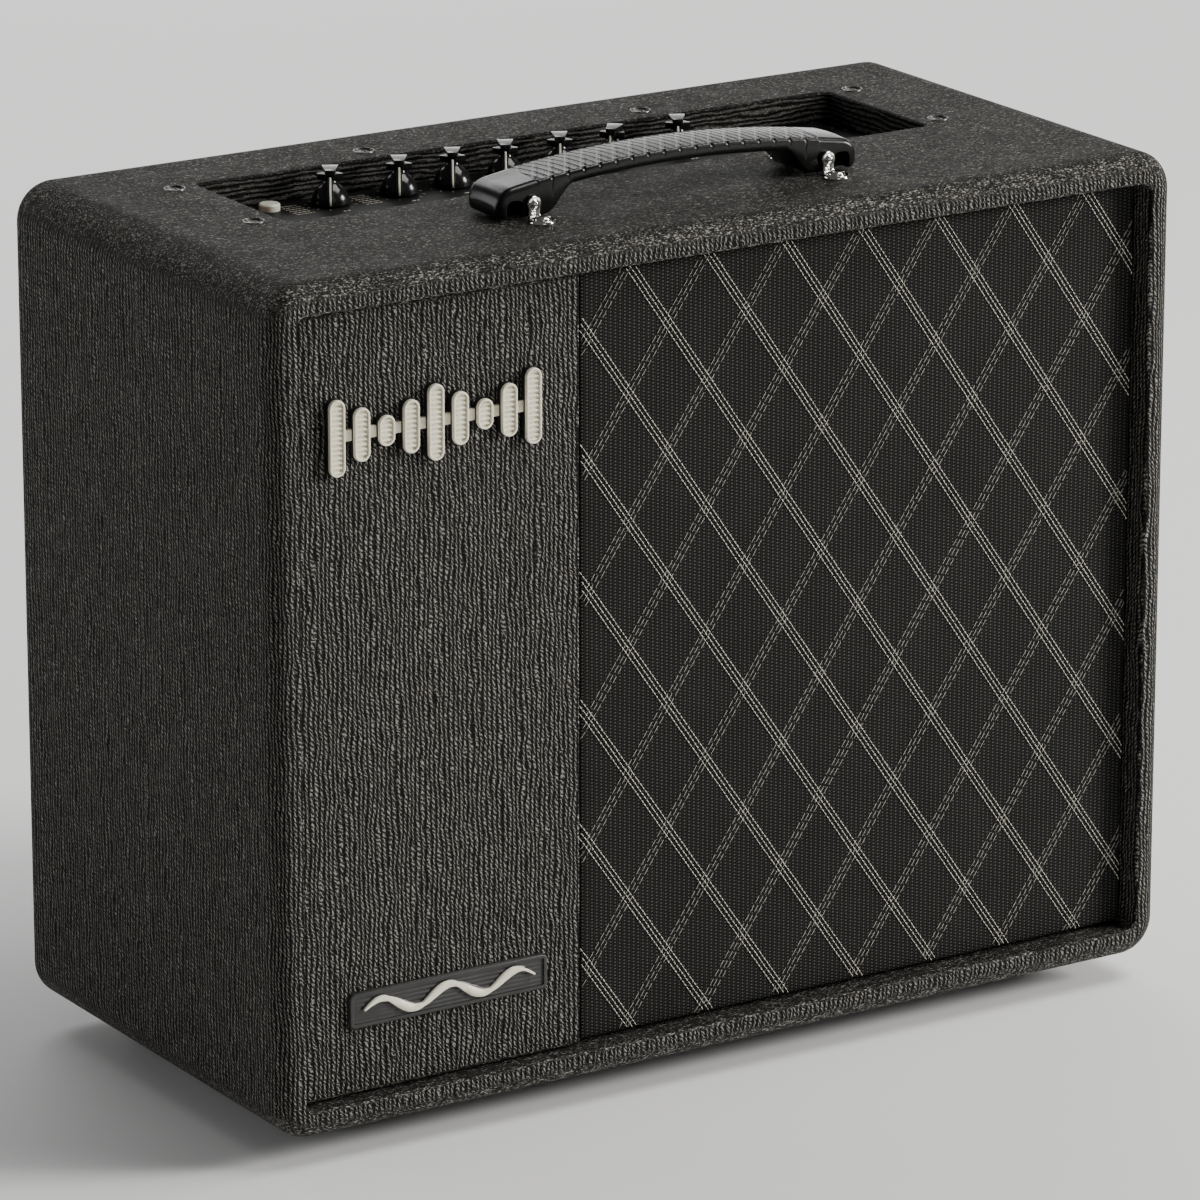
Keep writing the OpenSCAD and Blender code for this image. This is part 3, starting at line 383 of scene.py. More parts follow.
def make_finishes():
    """Every material slot of the record, by name, and the extra ones that pieces here use."""
    made = {}
    for name, (colour, roughness, more) in PLAIN_STUFF.items():
        made[name] = solid(name, colour if isinstance(colour, tuple) else (colour,) * 3, roughness, **more)
    made.update({
        "vinyl": vinyl("vinyl"),
        # The opening's walls: the same covering at 0.28 of its colour, darkened as painted shade for the recess.
        "vinyl_level": vinyl("vinyl_level", "level", 0.28),
        "board_wood": wood("board_wood", (0.36, 0.25, 0.15), 0.75),
        "grille_fabric": grille_weave(),
        "thread_bright": thread_finish("thread_bright", (0.95, 0.92, 0.78)),
        "thread_dim": thread_finish("thread_dim", (0.42, 0.41, 0.35)),
        "handle_plastic": handle_finish(),
        "bright_chrome": chrome("bright_chrome"),
        "panel_paint": panel_paint(),
        "valve_glass": valve_glass(),
    })
    return made


# ---- Mesh building ----

class Shape:
    """Points and faces gathered ring by ring, then made into one piece."""

    def __init__(self):
        self.points = []
        self.faces = []
        self.finish_of_face = []

    def ring(self, points):
        start = len(self.points)
        self.points += [Vector(p) for p in points]
        return list(range(start, len(self.points)))

    def face(self, indices, finish=0):
        self.faces.append(list(indices))
        self.finish_of_face.append(finish)

    def band(self, a, b, finish=0, closed=True, skip=()):
        count = len(a)
        for i in range(count if closed else count - 1):
            if i not in skip:
                k = (i + 1) % count
                self.face((a[i], a[k], b[k], b[i]), finish)

    def loft(self, rings, finish=0, closed=True, caps=False):
        made = [self.ring(r) for r in rings]
        for a, b in zip(made, made[1:]):
            self.band(a, b, finish, closed)
        if caps:
            self.face(reversed(made[0]), finish)
            self.face(made[-1], finish)
        return made

    def mesh(self, name, finishes, tidy=True):
        mesh = bpy.data.meshes.new(name)
        mesh.from_pydata(self.points, [], self.faces)
        mesh.polygons.foreach_set("material_index", self.finish_of_face)
        for f in finishes:
            mesh.materials.append(f)
        if tidy:
            bm = bmesh.new()
            bm.from_mesh(mesh)
            bmesh.ops.remove_doubles(bm, verts=bm.verts, dist=1e-6)
            bmesh.ops.recalc_face_normals(bm, faces=bm.faces)
            bm.to_mesh(mesh)
            bm.free()
        mesh.polygons.foreach_set("use_smooth", [True] * len(mesh.polygons))
        return mesh


def place_piece(name, mesh, body="cabinet", replaces=(), sharp=None):
    piece = bpy.data.objects.new(name, mesh)
    bpy.context.scene.collection.objects.link(piece)
    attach(piece, body)
    if replaces:
        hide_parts(*replaces)
    if sharp:
        sharpen(piece, sharp)
    return piece


def sharpen(piece, degrees=35):
    """Shades smoothly except over edges sharper than this."""
    piece.data.set_sharp_from_angle(angle=math.radians(degrees))


def add_bevel(piece, width, segments=2, degrees=30):
    bevel = piece.modifiers.new("bevel", "BEVEL")
    bevel.width = width
    bevel.segments = segments
    bevel.limit_method = "ANGLE"
    bevel.angle_limit = math.radians(degrees)
    bevel.harden_normals = False


def baked_mesh(piece):
    """The piece's mesh with its modifiers applied."""
    graph = bpy.context.evaluated_depsgraph_get()
    return bpy.data.meshes.new_from_object(piece.evaluated_get(graph))


def scratch(mesh):
    thing = bpy.data.objects.new("scratch", mesh)
    bpy.context.scene.collection.objects.link(thing)
    return thing


def combine(base, others, operation):
    """The base mesh joined with, or cut by, each of the other meshes in turn."""
    main = scratch(base)
    helpers = [scratch(m) for m in others]
    for helper in helpers:
        step = main.modifiers.new("step", "BOOLEAN")
        step.operation = operation
        step.solver = "EXACT"
        step.object = helper
    bpy.context.view_layer.update()
    result = baked_mesh(main)
    for thing in [main] + helpers:
        bpy.data.objects.remove(thing)
    return result


def corner_arcs(half_w, half_h, radius, steps):
    """Points round a rounded rectangle centred on 0, from the right side's top corner on."""
    points = []
    for k, (sx, sz) in enumerate([(1, 1), (-1, 1), (-1, -1), (1, -1)]):
        for i in range(steps + 1):
            angle = math.radians(90 * (k + i / steps))
            points.append((sx * (half_w - radius) + radius * math.cos(angle),
                           sz * (half_h - radius) + radius * math.sin(angle)))
    return points


def lathe(profile, segments=48, spin=Matrix.Identity(4)):
    """A closed ring-by-ring shape from (radius, height) pairs turned about Z, then moved by spin."""
    shape = Shape()
    rings = []
    for r, h in profile:
        ring = [spin @ Vector((r * math.cos(TURN * i / segments), r * math.sin(TURN * i / segments), h))
                for i in range(segments)]
        rings.append(shape.ring(ring))
    for a, b in zip(rings, rings[1:]):
        shape.band(a, b)
    shape.face(rings[0])
    shape.face(rings[-1])
    return shape


def prism(outline, low, high, place=lambda a, b, h: Vector((a, b, h))):
    """An outline extruded from low to high; place turns outline and height into a point."""
    shape = Shape()
    shape.loft([[place(a, b, h) for a, b in outline] for h in (low, high)], caps=True)
    return shape


def rolled(past, radius):
    """How far a round of this radius has turned away, past its start."""
    return radius - math.sqrt(max(0, radius ** 2 - max(0, past) ** 2))


# ---- Cabinet ----

CORNER_R = 17 * MM
EDGE_R = 9.5 * MM
VINYL_T = 0.6 * MM
CORNER_STEPS = 14


def quarter(steps):
    return [math.radians(90 * i / steps) for i in range(steps + 1)]


def cover_profile():
    """(inset, y) pairs from the baffle, round the front edge, along the sides and round the back."""
    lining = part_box("front_strip")[0].x - cover_low.x - 1 * MM
    lip = 1.6 * MM
    profile = [(lining, baffle_low.y), (lining, FRONT + 7 * MM), (lining, FRONT + lip)]
    for a in quarter(5)[1:]:
        profile.append((lining - lip * (1 - math.cos(a)), FRONT + lip * (1 - math.sin(a))))
    profile += [(EDGE_R * (1 - math.sin(a)), FRONT + EDGE_R * (1 - math.cos(a))) for a in quarter(10)]
    profile.append((0, FRONT + EDGE_R + 1 * MM))
    profile.append((0, BACK - EDGE_R - 1 * MM))
    profile += [(EDGE_R * (1 - math.cos(a)), BACK - EDGE_R * (1 - math.sin(a))) for a in quarter(10)]
    for a in quarter(5):
        profile.append((lining - lip + lip * math.sin(a), BACK - lip * (1 - math.cos(a))))
    profile.append((lining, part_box("back_panel")[1].y - 4 * MM))
    return profile


def cover_ring(inset, y):
    half_w = cover_high.x - inset
    half_h = (cover_high.z - cover_low.z) / 2 - inset
    middle = (cover_high.z + cover_low.z) / 2
    radius = max(CORNER_R - inset, 3.5 * MM)
    return [Vector((a, y, middle + b)) for a, b in corner_arcs(half_w, half_h, radius, CORNER_STEPS)]


def opening_box():
    """The opening in the top, from the covering's own walls: lowest and highest X and Y."""
    inside = [v.co for v in frame["nodes"]["vinyl_covering"].data.vertices
              if gasket_high.z - MM < v.co.z < TOP - 2 * MM
              and abs(v.co.x) < cover_high.x - 2 * CORNER_R and abs(v.co.y) < BACK - 2 * CORNER_R]
    lining = 0.7 * MM
    return (min(p.x for p in inside) + lining, min(p.y for p in inside) + lining,
            max(p.x for p in inside) - lining, max(p.y for p in inside) - lining)


OPENING = opening_box()
OPENING_LIP = 1.4 * MM


def opening_ring(grow, z, edge_step=None):
    """A ring round the opening, grown by grow. edge_step splits its straight sides."""
    x0, y0, x1, y1 = OPENING
    middle = Vector(((x0 + x1) / 2, (y0 + y1) / 2, 0))
    ring = corner_arcs((x1 - x0) / 2 + grow, (y1 - y0) / 2 + grow, 3 * MM + grow, 5)
    points = []
    for i, (a, b) in enumerate(ring):
        start = Vector((a, b, z))
        end = Vector(ring[(i + 1) % len(ring)] + (z,))
        steps = 1 if edge_step is None else max(1, round((end - start).length / edge_step))
        points += [middle + start.lerp(end, k / steps) for k in range(steps)]
    return points


SINK_R = 4.4 * MM


def sink_middles():
    """Where the cup washers sit in the top, from their own meshes."""
    groups = []
    for v in frame["nodes"]["cup_washers"].data.vertices:
        group = next((g for g in groups if (g[0] - v.co).xy.length < 12 * MM), None)
        if group is None:
            group = []
            groups.append(group)
        group.append(v.co.copy())
    spots = []
    for g in groups:
        xs, ys = [p.x for p in g], [p.y for p in g]
        spots.append(Vector(((min(xs) + max(xs)) / 2, (min(ys) + max(ys)) / 2, TOP)))
    return spots


def cover():
    """The vinyl over the whole cabinet, open round the control recess and at the cup washers."""
    shape = Shape()
    rings = [shape.ring(cover_ring(*step)) for step in cover_profile()]
    top_edge = CORNER_STEPS
    flat = [i for i, r in enumerate(rings)
            if abs(shape.points[r[top_edge]].z - TOP) < 1e-6]
    for k, (a, b) in enumerate(zip(rings, rings[1:])):
        shape.band(a, b, skip=(top_edge,) if flat[1] <= k < flat[-2] else ())
    mesh = shape.mesh("cover", [], tidy=False)
    bm = bmesh.new()
    bm.from_mesh(mesh)
    bm.verts.ensure_lookup_table()
    edge = [bm.verts[rings[i][top_edge]] for i in flat[1:-1]]
    edge += [bm.verts[rings[i][top_edge + 1]] for i in reversed(flat[1:-1])]
    hole = [bm.verts.new(p) for p in opening_ring(OPENING_LIP, TOP, 12 * MM)]
    loops = [edge, hole]
    for spot in sink_middles():
        loops.append([bm.verts.new(spot + Vector((SINK_R * math.cos(a), SINK_R * math.sin(a), 0)))
                      for a in (TURN * k / 32 for k in range(32))])
    verts = [v for loop in loops for v in loop]
    number = {v: i for i, v in enumerate(verts)}
    borders = [(number[a], number[b]) for loop in loops for a, b in zip(loop, loop[1:] + loop[:1])]
    owner = [k for k, loop in enumerate(loops) for v in loop]
    filled = delaunay_2d_cdt([v.co.xy for v in verts], borders, [], 0, 1e-7)
    for triangle in filled[2]:
        corners = [filled[3][i][0] for i in triangle]
        owners = {owner[i] for i in corners}
        if len(owners) > 1 or 0 in owners:      # a triangle on one inner loop alone lies in its hole
            bm.faces.new([verts[i] for i in corners])
    bmesh.ops.remove_doubles(bm, verts=bm.verts, dist=1e-6)
    bmesh.ops.recalc_face_normals(bm, faces=bm.faces)
    for f in bm.faces:
        f.smooth = True
    middle = Vector((0, 0, (TOP + cover_low.z) / 2))
    side = max(bm.faces, key=lambda f: f.calc_area())
    if side.normal.dot(side.calc_center_median() - middle) < 0:
        bmesh.ops.reverse_faces(bm, faces=bm.faces)
    bm.to_mesh(mesh)
    bm.free()
    mesh.materials.append(FINISHES["vinyl"])
    piece = place_piece("vinyl_cover", mesh, replaces=["vinyl_covering"])
    sharpen(piece)
    thick = piece.modifiers.new("thickness", "SOLIDIFY")
    thick.thickness = VINYL_T
    thick.offset = -1
    piece.modifiers.new("even_shading", "WEIGHTED_NORMAL").keep_sharp = True


def opening_lining():
    """The covering turned down into the opening: a soft lip, then walls with long level creases."""
    depth = TOP - OPENING_LIP - gasket_high.z + 1.2 * MM
    rows = 22
    steps = [(OPENING_LIP * (1 - math.sin(a)), TOP - OPENING_LIP * (1 - math.cos(a)), 0)
             for a in quarter(5)]
    steps += [(0, TOP - OPENING_LIP - depth * i / rows, min(1, 3 * i / rows)) for i in range(1, rows + 1)]
    rings = []
    for grow, z, crease in steps:
        ring = opening_ring(grow, z, 3 * MM)
        centre = Vector(((OPENING[0] + OPENING[2]) / 2, (OPENING[1] + OPENING[3]) / 2, z))
        moved = []
        for p in ring:
            along = (p.x + p.y) / MM
            level = p.z / MM
            fold = noise.noise(Vector((along / 11, level / 1.9, 3.1)))
            fold += 0.7 * noise.noise(Vector((along / 4.5, level / 1.1, 9.7)))
            inward = centre - p
            if abs(inward.x) > (OPENING[2] - OPENING[0]) / 2 - 1.5 * MM:
                inward.y = 0
            else:
                inward.x = 0
            moved.append(p + inward.normalized() * crease * 0.24 * MM * (fold + 0.25))
        rings.append(moved)
    shape = Shape()
    shape.loft(rings)
    # Its finish is the covering darkened as painted shade for the recess.
    mesh = shape.mesh("opening_lining", [FINISHES["vinyl_level"]])
    place_piece("opening_lining", mesh)


def spread(low, high, step, radius):
    """Positions from low to high: close together inside radius of either end, then every step."""
    ends = [radius * share for share in (0, 0.08, 0.22, 0.42, 0.68, 1)]
    count = max(2, round((high - low - 2 * radius) / step))
    middle = [low + radius + (high - low - 2 * radius) * i / count for i in range(1, count)]
    return [low + e for e in ends] + middle + [high - e for e in reversed(ends)]


def from_edge(x, z, low, high):
    """How far in from its nearest edge a point is on a board seen from the front."""
    return max(0, min(x - low.x, high.x - x, z - low.z, high.z - z))


def soft_panel(low, high, radius, step, relief):
    """A covered board seen from the front: a face with rounded edges, and sides that run back."""
    xs = spread(low.x, high.x, step, radius)
    zs = spread(low.z, high.z, step, radius)
    shape = Shape()
    rows = []
    for z in zs:
        row = []
        for x in xs:
            near = from_edge(x, z, low, high)
            lift = relief(x, z) * min(1, near / radius)
            row.append(Vector((x, low.y + rolled(radius - near, radius) - lift, z)))
        rows.append(shape.ring(row))
    for a, b in zip(rows, rows[1:]):
        shape.band(a, b, closed=False)
    rim = rows[0] + [r[-1] for r in rows[1:]] + list(reversed(rows[-1][:-1])) \
        + [r[0] for r in reversed(rows[1:-1])]
    back = shape.ring([Vector((shape.points[i].x, high.y, shape.points[i].z)) for i in rim])
    shape.band(rim, back)
    return shape


def front_strip():
    def swell(x, z):
        return 0.35 * MM * noise.noise(Vector((x / MM / 26, z / MM / 60, 1.7)))
    shape = soft_panel(strip_low, strip_high, 2.2 * MM, 4 * MM, swell)
    mesh = shape.mesh("front_strip_cover", [FINISHES["vinyl"]])
    place_piece("front_strip_cover", mesh, replaces=["front_strip"])


# ---- Grille ----

LATTICE_X, LATTICE_Z = 19.65 * MM, 28.0 * MM
LATTICE_START = Vector((cloth_low.x + 24.6 * MM, 0, cloth_high.z - 56.6 * MM))
THREAD_GAP = 2.35 * MM
THREAD_R = 0.20 * MM
CLOTH_R = 3 * MM


def grille_cloth():
    def slack(x, z):
        return 0.25 * MM * noise.noise(Vector((x / MM / 45, z / MM / 45, 6.2)))
    shape = soft_panel(cloth_low, cloth_high, CLOTH_R, 5 * MM, slack)
    mesh = shape.mesh("grille_cloth_sheet", [FINISHES["grille_fabric"]])
    return place_piece("grille_cloth_sheet", mesh, replaces=["grille_cloth"])


def stitch(shape, start, end, radius, finish):
    """One rounded thread from start to end: a six-sided spindle."""
    along = (end - start).normalized()
    side = along.cross(Vector((0, 1, 0))).normalized()
    out = Vector((0, -1, 0))
    rings = []
    for share, width in ((0.0, 0.35), (0.1, 0.85), (0.5, 1.0), (0.9, 0.85), (1.0, 0.35)):
        centre = start.lerp(end, share) + out * radius * 0.35 * math.sin(math.pi * share)
        rings.append([centre + radius * width * (side * math.cos(a) + out * math.sin(a))
                      for a in (TURN * k / 6 for k in range(6))])
    shape.loft(rings, finish, caps=True)


def cloth_depth(x, z):
    """Y of the cloth's face, which curves back along its edges."""
    return cloth_low.y + rolled(CLOTH_R - from_edge(x, z, cloth_low, cloth_high), CLOTH_R)


def crossing_lift(x, z, lean):
    """How far a thread rises at the lattice crossings, where one family passes over the other."""
    a = (x - LATTICE_START.x) / LATTICE_X
    b = (z - LATTICE_START.z) / LATTICE_Z
    other = (a - lean * b) / 2
    off = abs(other - round(other)) * 2 * LATTICE_X
    return max(0, 1 - off / (4.5 * MM))


def thread_y(x, z, lean):
    """Y of a thread's middle on the cloth: the falling family is raised where it crosses the other."""
    raised = 0.30 * MM if lean < 0 else -0.02 * MM
    return cloth_depth(x, z) - 0.16 * MM - raised * crossing_lift(x, z, lean)


def lattice_threads():
    """The stitched diamonds: two families of triple threads, the falling one over the rising one."""
    shape = Shape()
    margin = 0.6 * MM
    families = [(-1, 2.15 * MM, 0.80, 0), (1, 4.55 * MM, 0.80, 1)]
    for lean, pitch, filled, finish in families:
        direction = Vector((LATTICE_X, 0, lean * LATTICE_Z)).normalized()
        for k in range(-20, 21):
            for strand in (-1, 0, 1):
                x0 = LATTICE_START.x + 2 * k * LATTICE_X + strand * THREAD_GAP
                z0 = LATTICE_START.z
                reach = int(0.7 / pitch)
                phase = dice.random() * pitch
                for i in range(-reach, reach):
                    wander = 0.10 * MM * noise.noise(Vector((i * 0.35, k * 7.1 + strand, lean * 3.3)))
                    s = phase + i * pitch
                    e = s + pitch * filled * dice.uniform(0.94, 1.04)
                    ends = []
                    for t in (s, e):
                        x = x0 + direction.x * t + wander + dice.uniform(-1, 1) * 0.05 * MM
                        z = z0 + direction.z * t + dice.uniform(-1, 1) * 0.05 * MM
                        ends.append((x, z))
                    if not all(cloth_low.x + margin < x < cloth_high.x - margin
                               and cloth_low.z + margin < z < cloth_high.z - margin for x, z in ends):
                        continue
                    start, end = (Vector((x, thread_y(x, z, lean), z)) for x, z in ends)
                    stitch(shape, start, end, THREAD_R, finish)
    mesh = shape.mesh("lattice_threads", [FINISHES["thread_bright"], FINISHES["thread_dim"]], tidy=False)
    return place_piece("lattice_threads", mesh)


# ---- Ornaments on the strip ----

def ribbed_tile(shape, centre, half_w, half_h, radius, back, levels, rim, pitch, depth, step):
    """A rounded tile with a raised rim round a ribbed field.
    levels are distances in front of back: the field, the rim and the foot of the face."""
    field, rim_top, face_foot = levels
    inner_w, inner_h, inner_r = half_w - rim, half_h - rim, radius - rim
    count = max(6, round(2 * inner_h / step))
    sides = []
    for i in range(count + 1):
        z = inner_h * (1 - 1e-4) * (2 * i / count - 1)
        past = abs(z) - (inner_h - inner_r)
        if past <= 0:
            sides.append((inner_w, z, 1.0, 0.0))
        else:
            run = math.sqrt(max(0, inner_r ** 2 - past ** 2))
            sides.append((inner_w - inner_r + run, z, run / inner_r, math.copysign(past / inner_r, z)))

    def loop(out, level):
        right = [(x + nx * out, z + nz * out) for x, z, nx, nz in sides]
        left = [(-x - nx * out, z + nz * out) for x, z, nx, nz in reversed(sides)]
        return [Vector((centre[0] + x, back - level, centre[1] + z)) for x, z in right + left]

    def rib(z):
        return field + depth * (0.5 + 0.5 * math.cos(TURN * z / pitch))

    rows = []
    across = (-1, -0.9, 0, 0.9, 1)
    for x, z, nx, nz in sides:
        rows.append(shape.ring([Vector((centre[0] + x * a, back - (field if abs(a) == 1 else rib(z)),
                                        centre[1] + z)) for a in across]))
    for a, b in zip(rows, rows[1:]):
        shape.band(a, b, closed=False)
    first = [r[-1] for r in rows] + [r[0] for r in reversed(rows)]
    curve = [(0.04, rim_top * 0.93 + field * 0.07), (0.22, rim_top), (0.78, rim_top),
             (0.94, rim_top - 0.12 * MM), (1.0, rim_top - 0.35 * MM)]
    rings = [first] + [shape.ring(loop(rim * share, level)) for share, level in curve]
    rings.append(shape.ring(loop(rim, face_foot)))
    for a, b in zip(rings, rings[1:]):
        shape.band(a, b)
    foot = [(rim + 0.02 * MM, face_foot), (rim + 0.25 * MM, face_foot - 0.3 * MM), (rim + 0.35 * MM, 0)]
    edge = [shape.ring(loop(out, level)) for out, level in foot]
    for a, b in zip([rings[-1]] + edge, edge):
        shape.band(a, b, 1)


def bar_share(i):
    """Height of the badge's bar number i from the middle, as a share of the tallest."""
    return 0.4 + 0.6 * math.cos(math.radians(45 * i)) ** 2


def badge():
    """Nine ribbed cream bars of rising and falling height, on a rail."""
    bars = 9
    half_w = 3.7 * MM
    width = badge_high.x - badge_low.x
    pitch = (width - 2 * half_w) / (bars - 1)
    middle = (badge_low + badge_high) / 2
    tallest = badge_high.z - badge_low.z
    shape = Shape()
    for k in range(bars):
        i = k - (bars - 1) / 2
        centre = (middle.x + i * pitch, middle.z)
        levels = (2.5 * MM, 3.9 * MM, 2.3 * MM)
        ribbed_tile(shape, centre, half_w, tallest * bar_share(i) / 2, half_w - 0.1 * MM, badge_high.y,
                    levels, 0.95 * MM, 2.1 * MM, 1.0 * MM, 0.26 * MM)
    mesh = shape.mesh("badge_bars", [FINISHES["cream_plastic"], FINISHES["badge_black"]])
    place_piece("badge_bars", mesh, replaces=["badge"], sharp=50)
    rail = Shape()
    outline = corner_arcs(width / 2 - half_w, 2.5 * MM, 0.4 * MM, 3)
    rings = []
    for inset, level in ((0, 0), (0, 1.2 * MM), (0.25 * MM, 1.55 * MM)):
        scale_x = 1 - inset / (width / 2)
        scale_z = 1 - inset / (2.5 * MM)
        rings.append([Vector((middle.x + a * scale_x, badge_high.y - level, middle.z + b * scale_z))
                      for a, b in outline])
    rail.loft(rings, caps=True)
    place_piece("badge_rail", rail.mesh("badge_rail", [FINISHES["cream_plastic"]]), sharp=50)


def ribbon(shape, centre, width, rise, waves, half, back, levels, finish):
    """A raised wave: its middle line is a sine, thick in the middle and tapering at the ends."""
    steps = 150
    section = [(-1, 0), (-0.94, 0.7), (-0.75, 0.93), (0, 1.0), (0.75, 0.93), (0.94, 0.7), (1, 0)]
    rings = []
    for i in range(steps + 1):
        t = i / steps
        x = width * (t - 0.5)
        z = rise * math.sin(TURN * waves * t)
        slope = rise * TURN * waves * math.cos(TURN * waves * t) / width
        normal = Vector((-slope, 0, 1)).normalized()
        thick = half * (0.62 + 0.55 * abs(math.sin(math.pi * waves * 2 * t + 0.9)))
        thick *= min(1, 0.25 + 6 * min(t, 1 - t))
        ring = []
        for share, level in section:
            height = levels[0] + (levels[1] - levels[0]) * level
            point = Vector((centre[0] + x, back - height, centre[1] + z))
            ring.append(point + normal * thick * share)
        rings.append(ring)
    shape.loft(rings, finish, caps=True)


def nameplate():
    """A black plate with a bevelled rim and fine lines, carrying a cream ripple."""
    middle = (plate_low + plate_high) / 2
    centre = (middle.x, middle.z)
    half_w, half_h = (plate_high.x - plate_low.x) / 2, (plate_high.z - plate_low.z) / 2
    outline = 0.35 * MM
    levels = (1.55 * MM, 2.35 * MM, 1.2 * MM)
    shape = Shape()
    ribbed_tile(shape, centre, half_w - outline, half_h - outline, 2.3 * MM, plate_high.y, levels,
                1.7 * MM, 1.9 * MM, 0.28 * MM, 0.19 * MM)
    ripple_w = 84 * MM
    for finish, width, half, height in ((1, ripple_w + 1.6 * MM, 2.4 * MM, 2.3 * MM),
                                        (2, ripple_w, 1.75 * MM, 3.3 * MM)):
        ribbon(shape, centre, width, 3.6 * MM, 2.5, half, plate_high.y, (1.0 * MM, height), finish)
    finishes = [FINISHES[name] for name in ("plate_black", "badge_black", "cream_plastic")]
    mesh = shape.mesh("ripple_plate", finishes)
    place_piece("ripple_plate", mesh, replaces=["nameplate"], sharp=50)


# ---- Handle ----

ARCH_R = 500 * MM
STRAP_T = 6.5 * MM
CAP_L = 20 * MM
NOTCH = 8 * MM
PIN_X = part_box("handle_brackets")[1].x - 5.9 * MM
PIN_Z = TOP + 7 * MM


def arch(x):
    return grip_high.z - ARCH_R + math.sqrt(ARCH_R ** 2 - x ** 2)


def handle_top(x):
    """Height of the handle's top at x: an arch whose ends roll over."""
    roll = 7.5 * MM
    return arch(x) - rolled(abs(x) - (grip_high.x - roll), roll)


def handle_bottom(x):
    """Height of its underside: parallel to the top along the strap, then down round the end blocks."""
    strap = arch(x) - STRAP_T
    floor = TOP + 1.0 * MM
    t = min(1, max(0, (abs(x) - (grip_high.x - 38 * MM)) / (14 * MM)))
    roll = 4 * MM
    return strap + (floor - strap) * t * t * (3 - 2 * t) + rolled(abs(x) - (grip_high.x - roll), roll)


def line_at(value, pitch, half):
    """1 on the nearest multiple of pitch, falling to 0 at half its width away."""
    return max(0, 1 - abs(value - round(value / pitch) * pitch) / half)


def strap_pattern(x, y):
    """Depth of the moulded pattern on the strap's top: cross grooves and thin raised diagonals."""
    edge = grip_high.x - CAP_L
    if abs(x) > edge + 0.5 * MM:
        return 0
    seam = max(0, 1 - abs(abs(x) - edge) / (0.5 * MM)) * 0.5
    if abs(x) > edge - 0.6 * MM:
        return seam * MM
    groove = line_at(x + 0.17 * y, NOTCH / 2, 0.5 * MM) * 0.5
    ridge = line_at(x - 0.64 * y, NOTCH, 0.5 * MM) * 0.2
    return max(groove, 0.2 - ridge, seam) * MM


def handle_section(x, middle_y, half_w):
    """One slice across the handle, going round from the front top edge."""
    top, bottom = handle_top(x), handle_bottom(x)
    corner = 4 * MM
    w = half_w - rolled(abs(x) - (grip_high.x - corner), corner) * 0.8
    on_strap = abs(x) < grip_high.x - CAP_L
    r_top = min(1.7 * MM if on_strap else 2.6 * MM, (top - bottom) * 0.4)
    r_low = min(2.2 * MM, (top - bottom) * 0.4)
    notch = line_at(x, NOTCH, 0.7 * MM) * 0.6 * MM if on_strap else 0
    crown = 0.5 * MM
    flat = w - r_top
    count = 60
    points = []
    for i in range(count + 1):
        y = -flat + 2 * flat * i / count
        points.append((y, top - crown * (y / flat) ** 2 - strap_pattern(x, y)))
    shoulder = []
    for a in quarter(5)[1:]:
        r = r_top - notch * math.sin(2 * a)
        shoulder.append((flat + r * math.sin(a), top - crown - r_top + r * math.cos(a)))
    belly = [(w - r_low * (1 - math.cos(a)), bottom + r_low * (1 - math.sin(a))) for a in quarter(4)]
    side = shoulder + belly
    points += side + [(-y, z) for y, z in reversed(side)]
    return [Vector((x, middle_y + y, z)) for y, z in points]


def handle():
    """The moulded strap with its end blocks, pockets and pin slots."""
    middle_y = (grip_low.y + grip_high.y) / 2
    half_w = (grip_high.y - grip_low.y) / 2
    half = grip_high.x
    reach = half - 1.2 * MM
    count = round(2 * reach / (0.36 * MM))
    tips = [half - d * MM for d in (0.9, 0.6, 0.35, 0.15, 0.03)]
    xs = [-x for x in reversed(tips)] + [reach * (2 * i / count - 1) for i in range(count + 1)] + tips
    shape = Shape()
    shape.loft([handle_section(x, middle_y, half_w) for x in xs], caps=True)
    body = shape.mesh("handle", [FINISHES["handle_plastic"]])

    def stand(a, b, h):
        return Vector((a, h, b))

    cutters = []
    for side in (-1, 1):
        pocket = [(side * (half - 8.5 * MM) + a, TOP + 3 * MM + b)
                  for a, b in corner_arcs(4.25 * MM, 6 * MM, 3 * MM, 5)]
        for face in (-1, 1):
            near = middle_y + face * (half_w - 6 * MM)
            far = middle_y + face * (half_w + 2 * MM)
            cutters.append(prism(pocket, min(near, far), max(near, far), stand))
        slot = [(side * PIN_X + a, PIN_Z - 1.25 * MM + b)
                for a, b in corner_arcs(2.6 * MM, 3.55 * MM, 2.2 * MM, 5)]
        cutters.append(prism(slot, middle_y - half_w - 2 * MM, middle_y + half_w + 2 * MM, stand))
    mesh = combine(body, [c.mesh("cutter", []) for c in cutters], "DIFFERENCE")
    mesh.name = "handle_strap"
    place_piece("handle_strap", mesh, "handle", replaces=["handle_grip"], sharp=40)


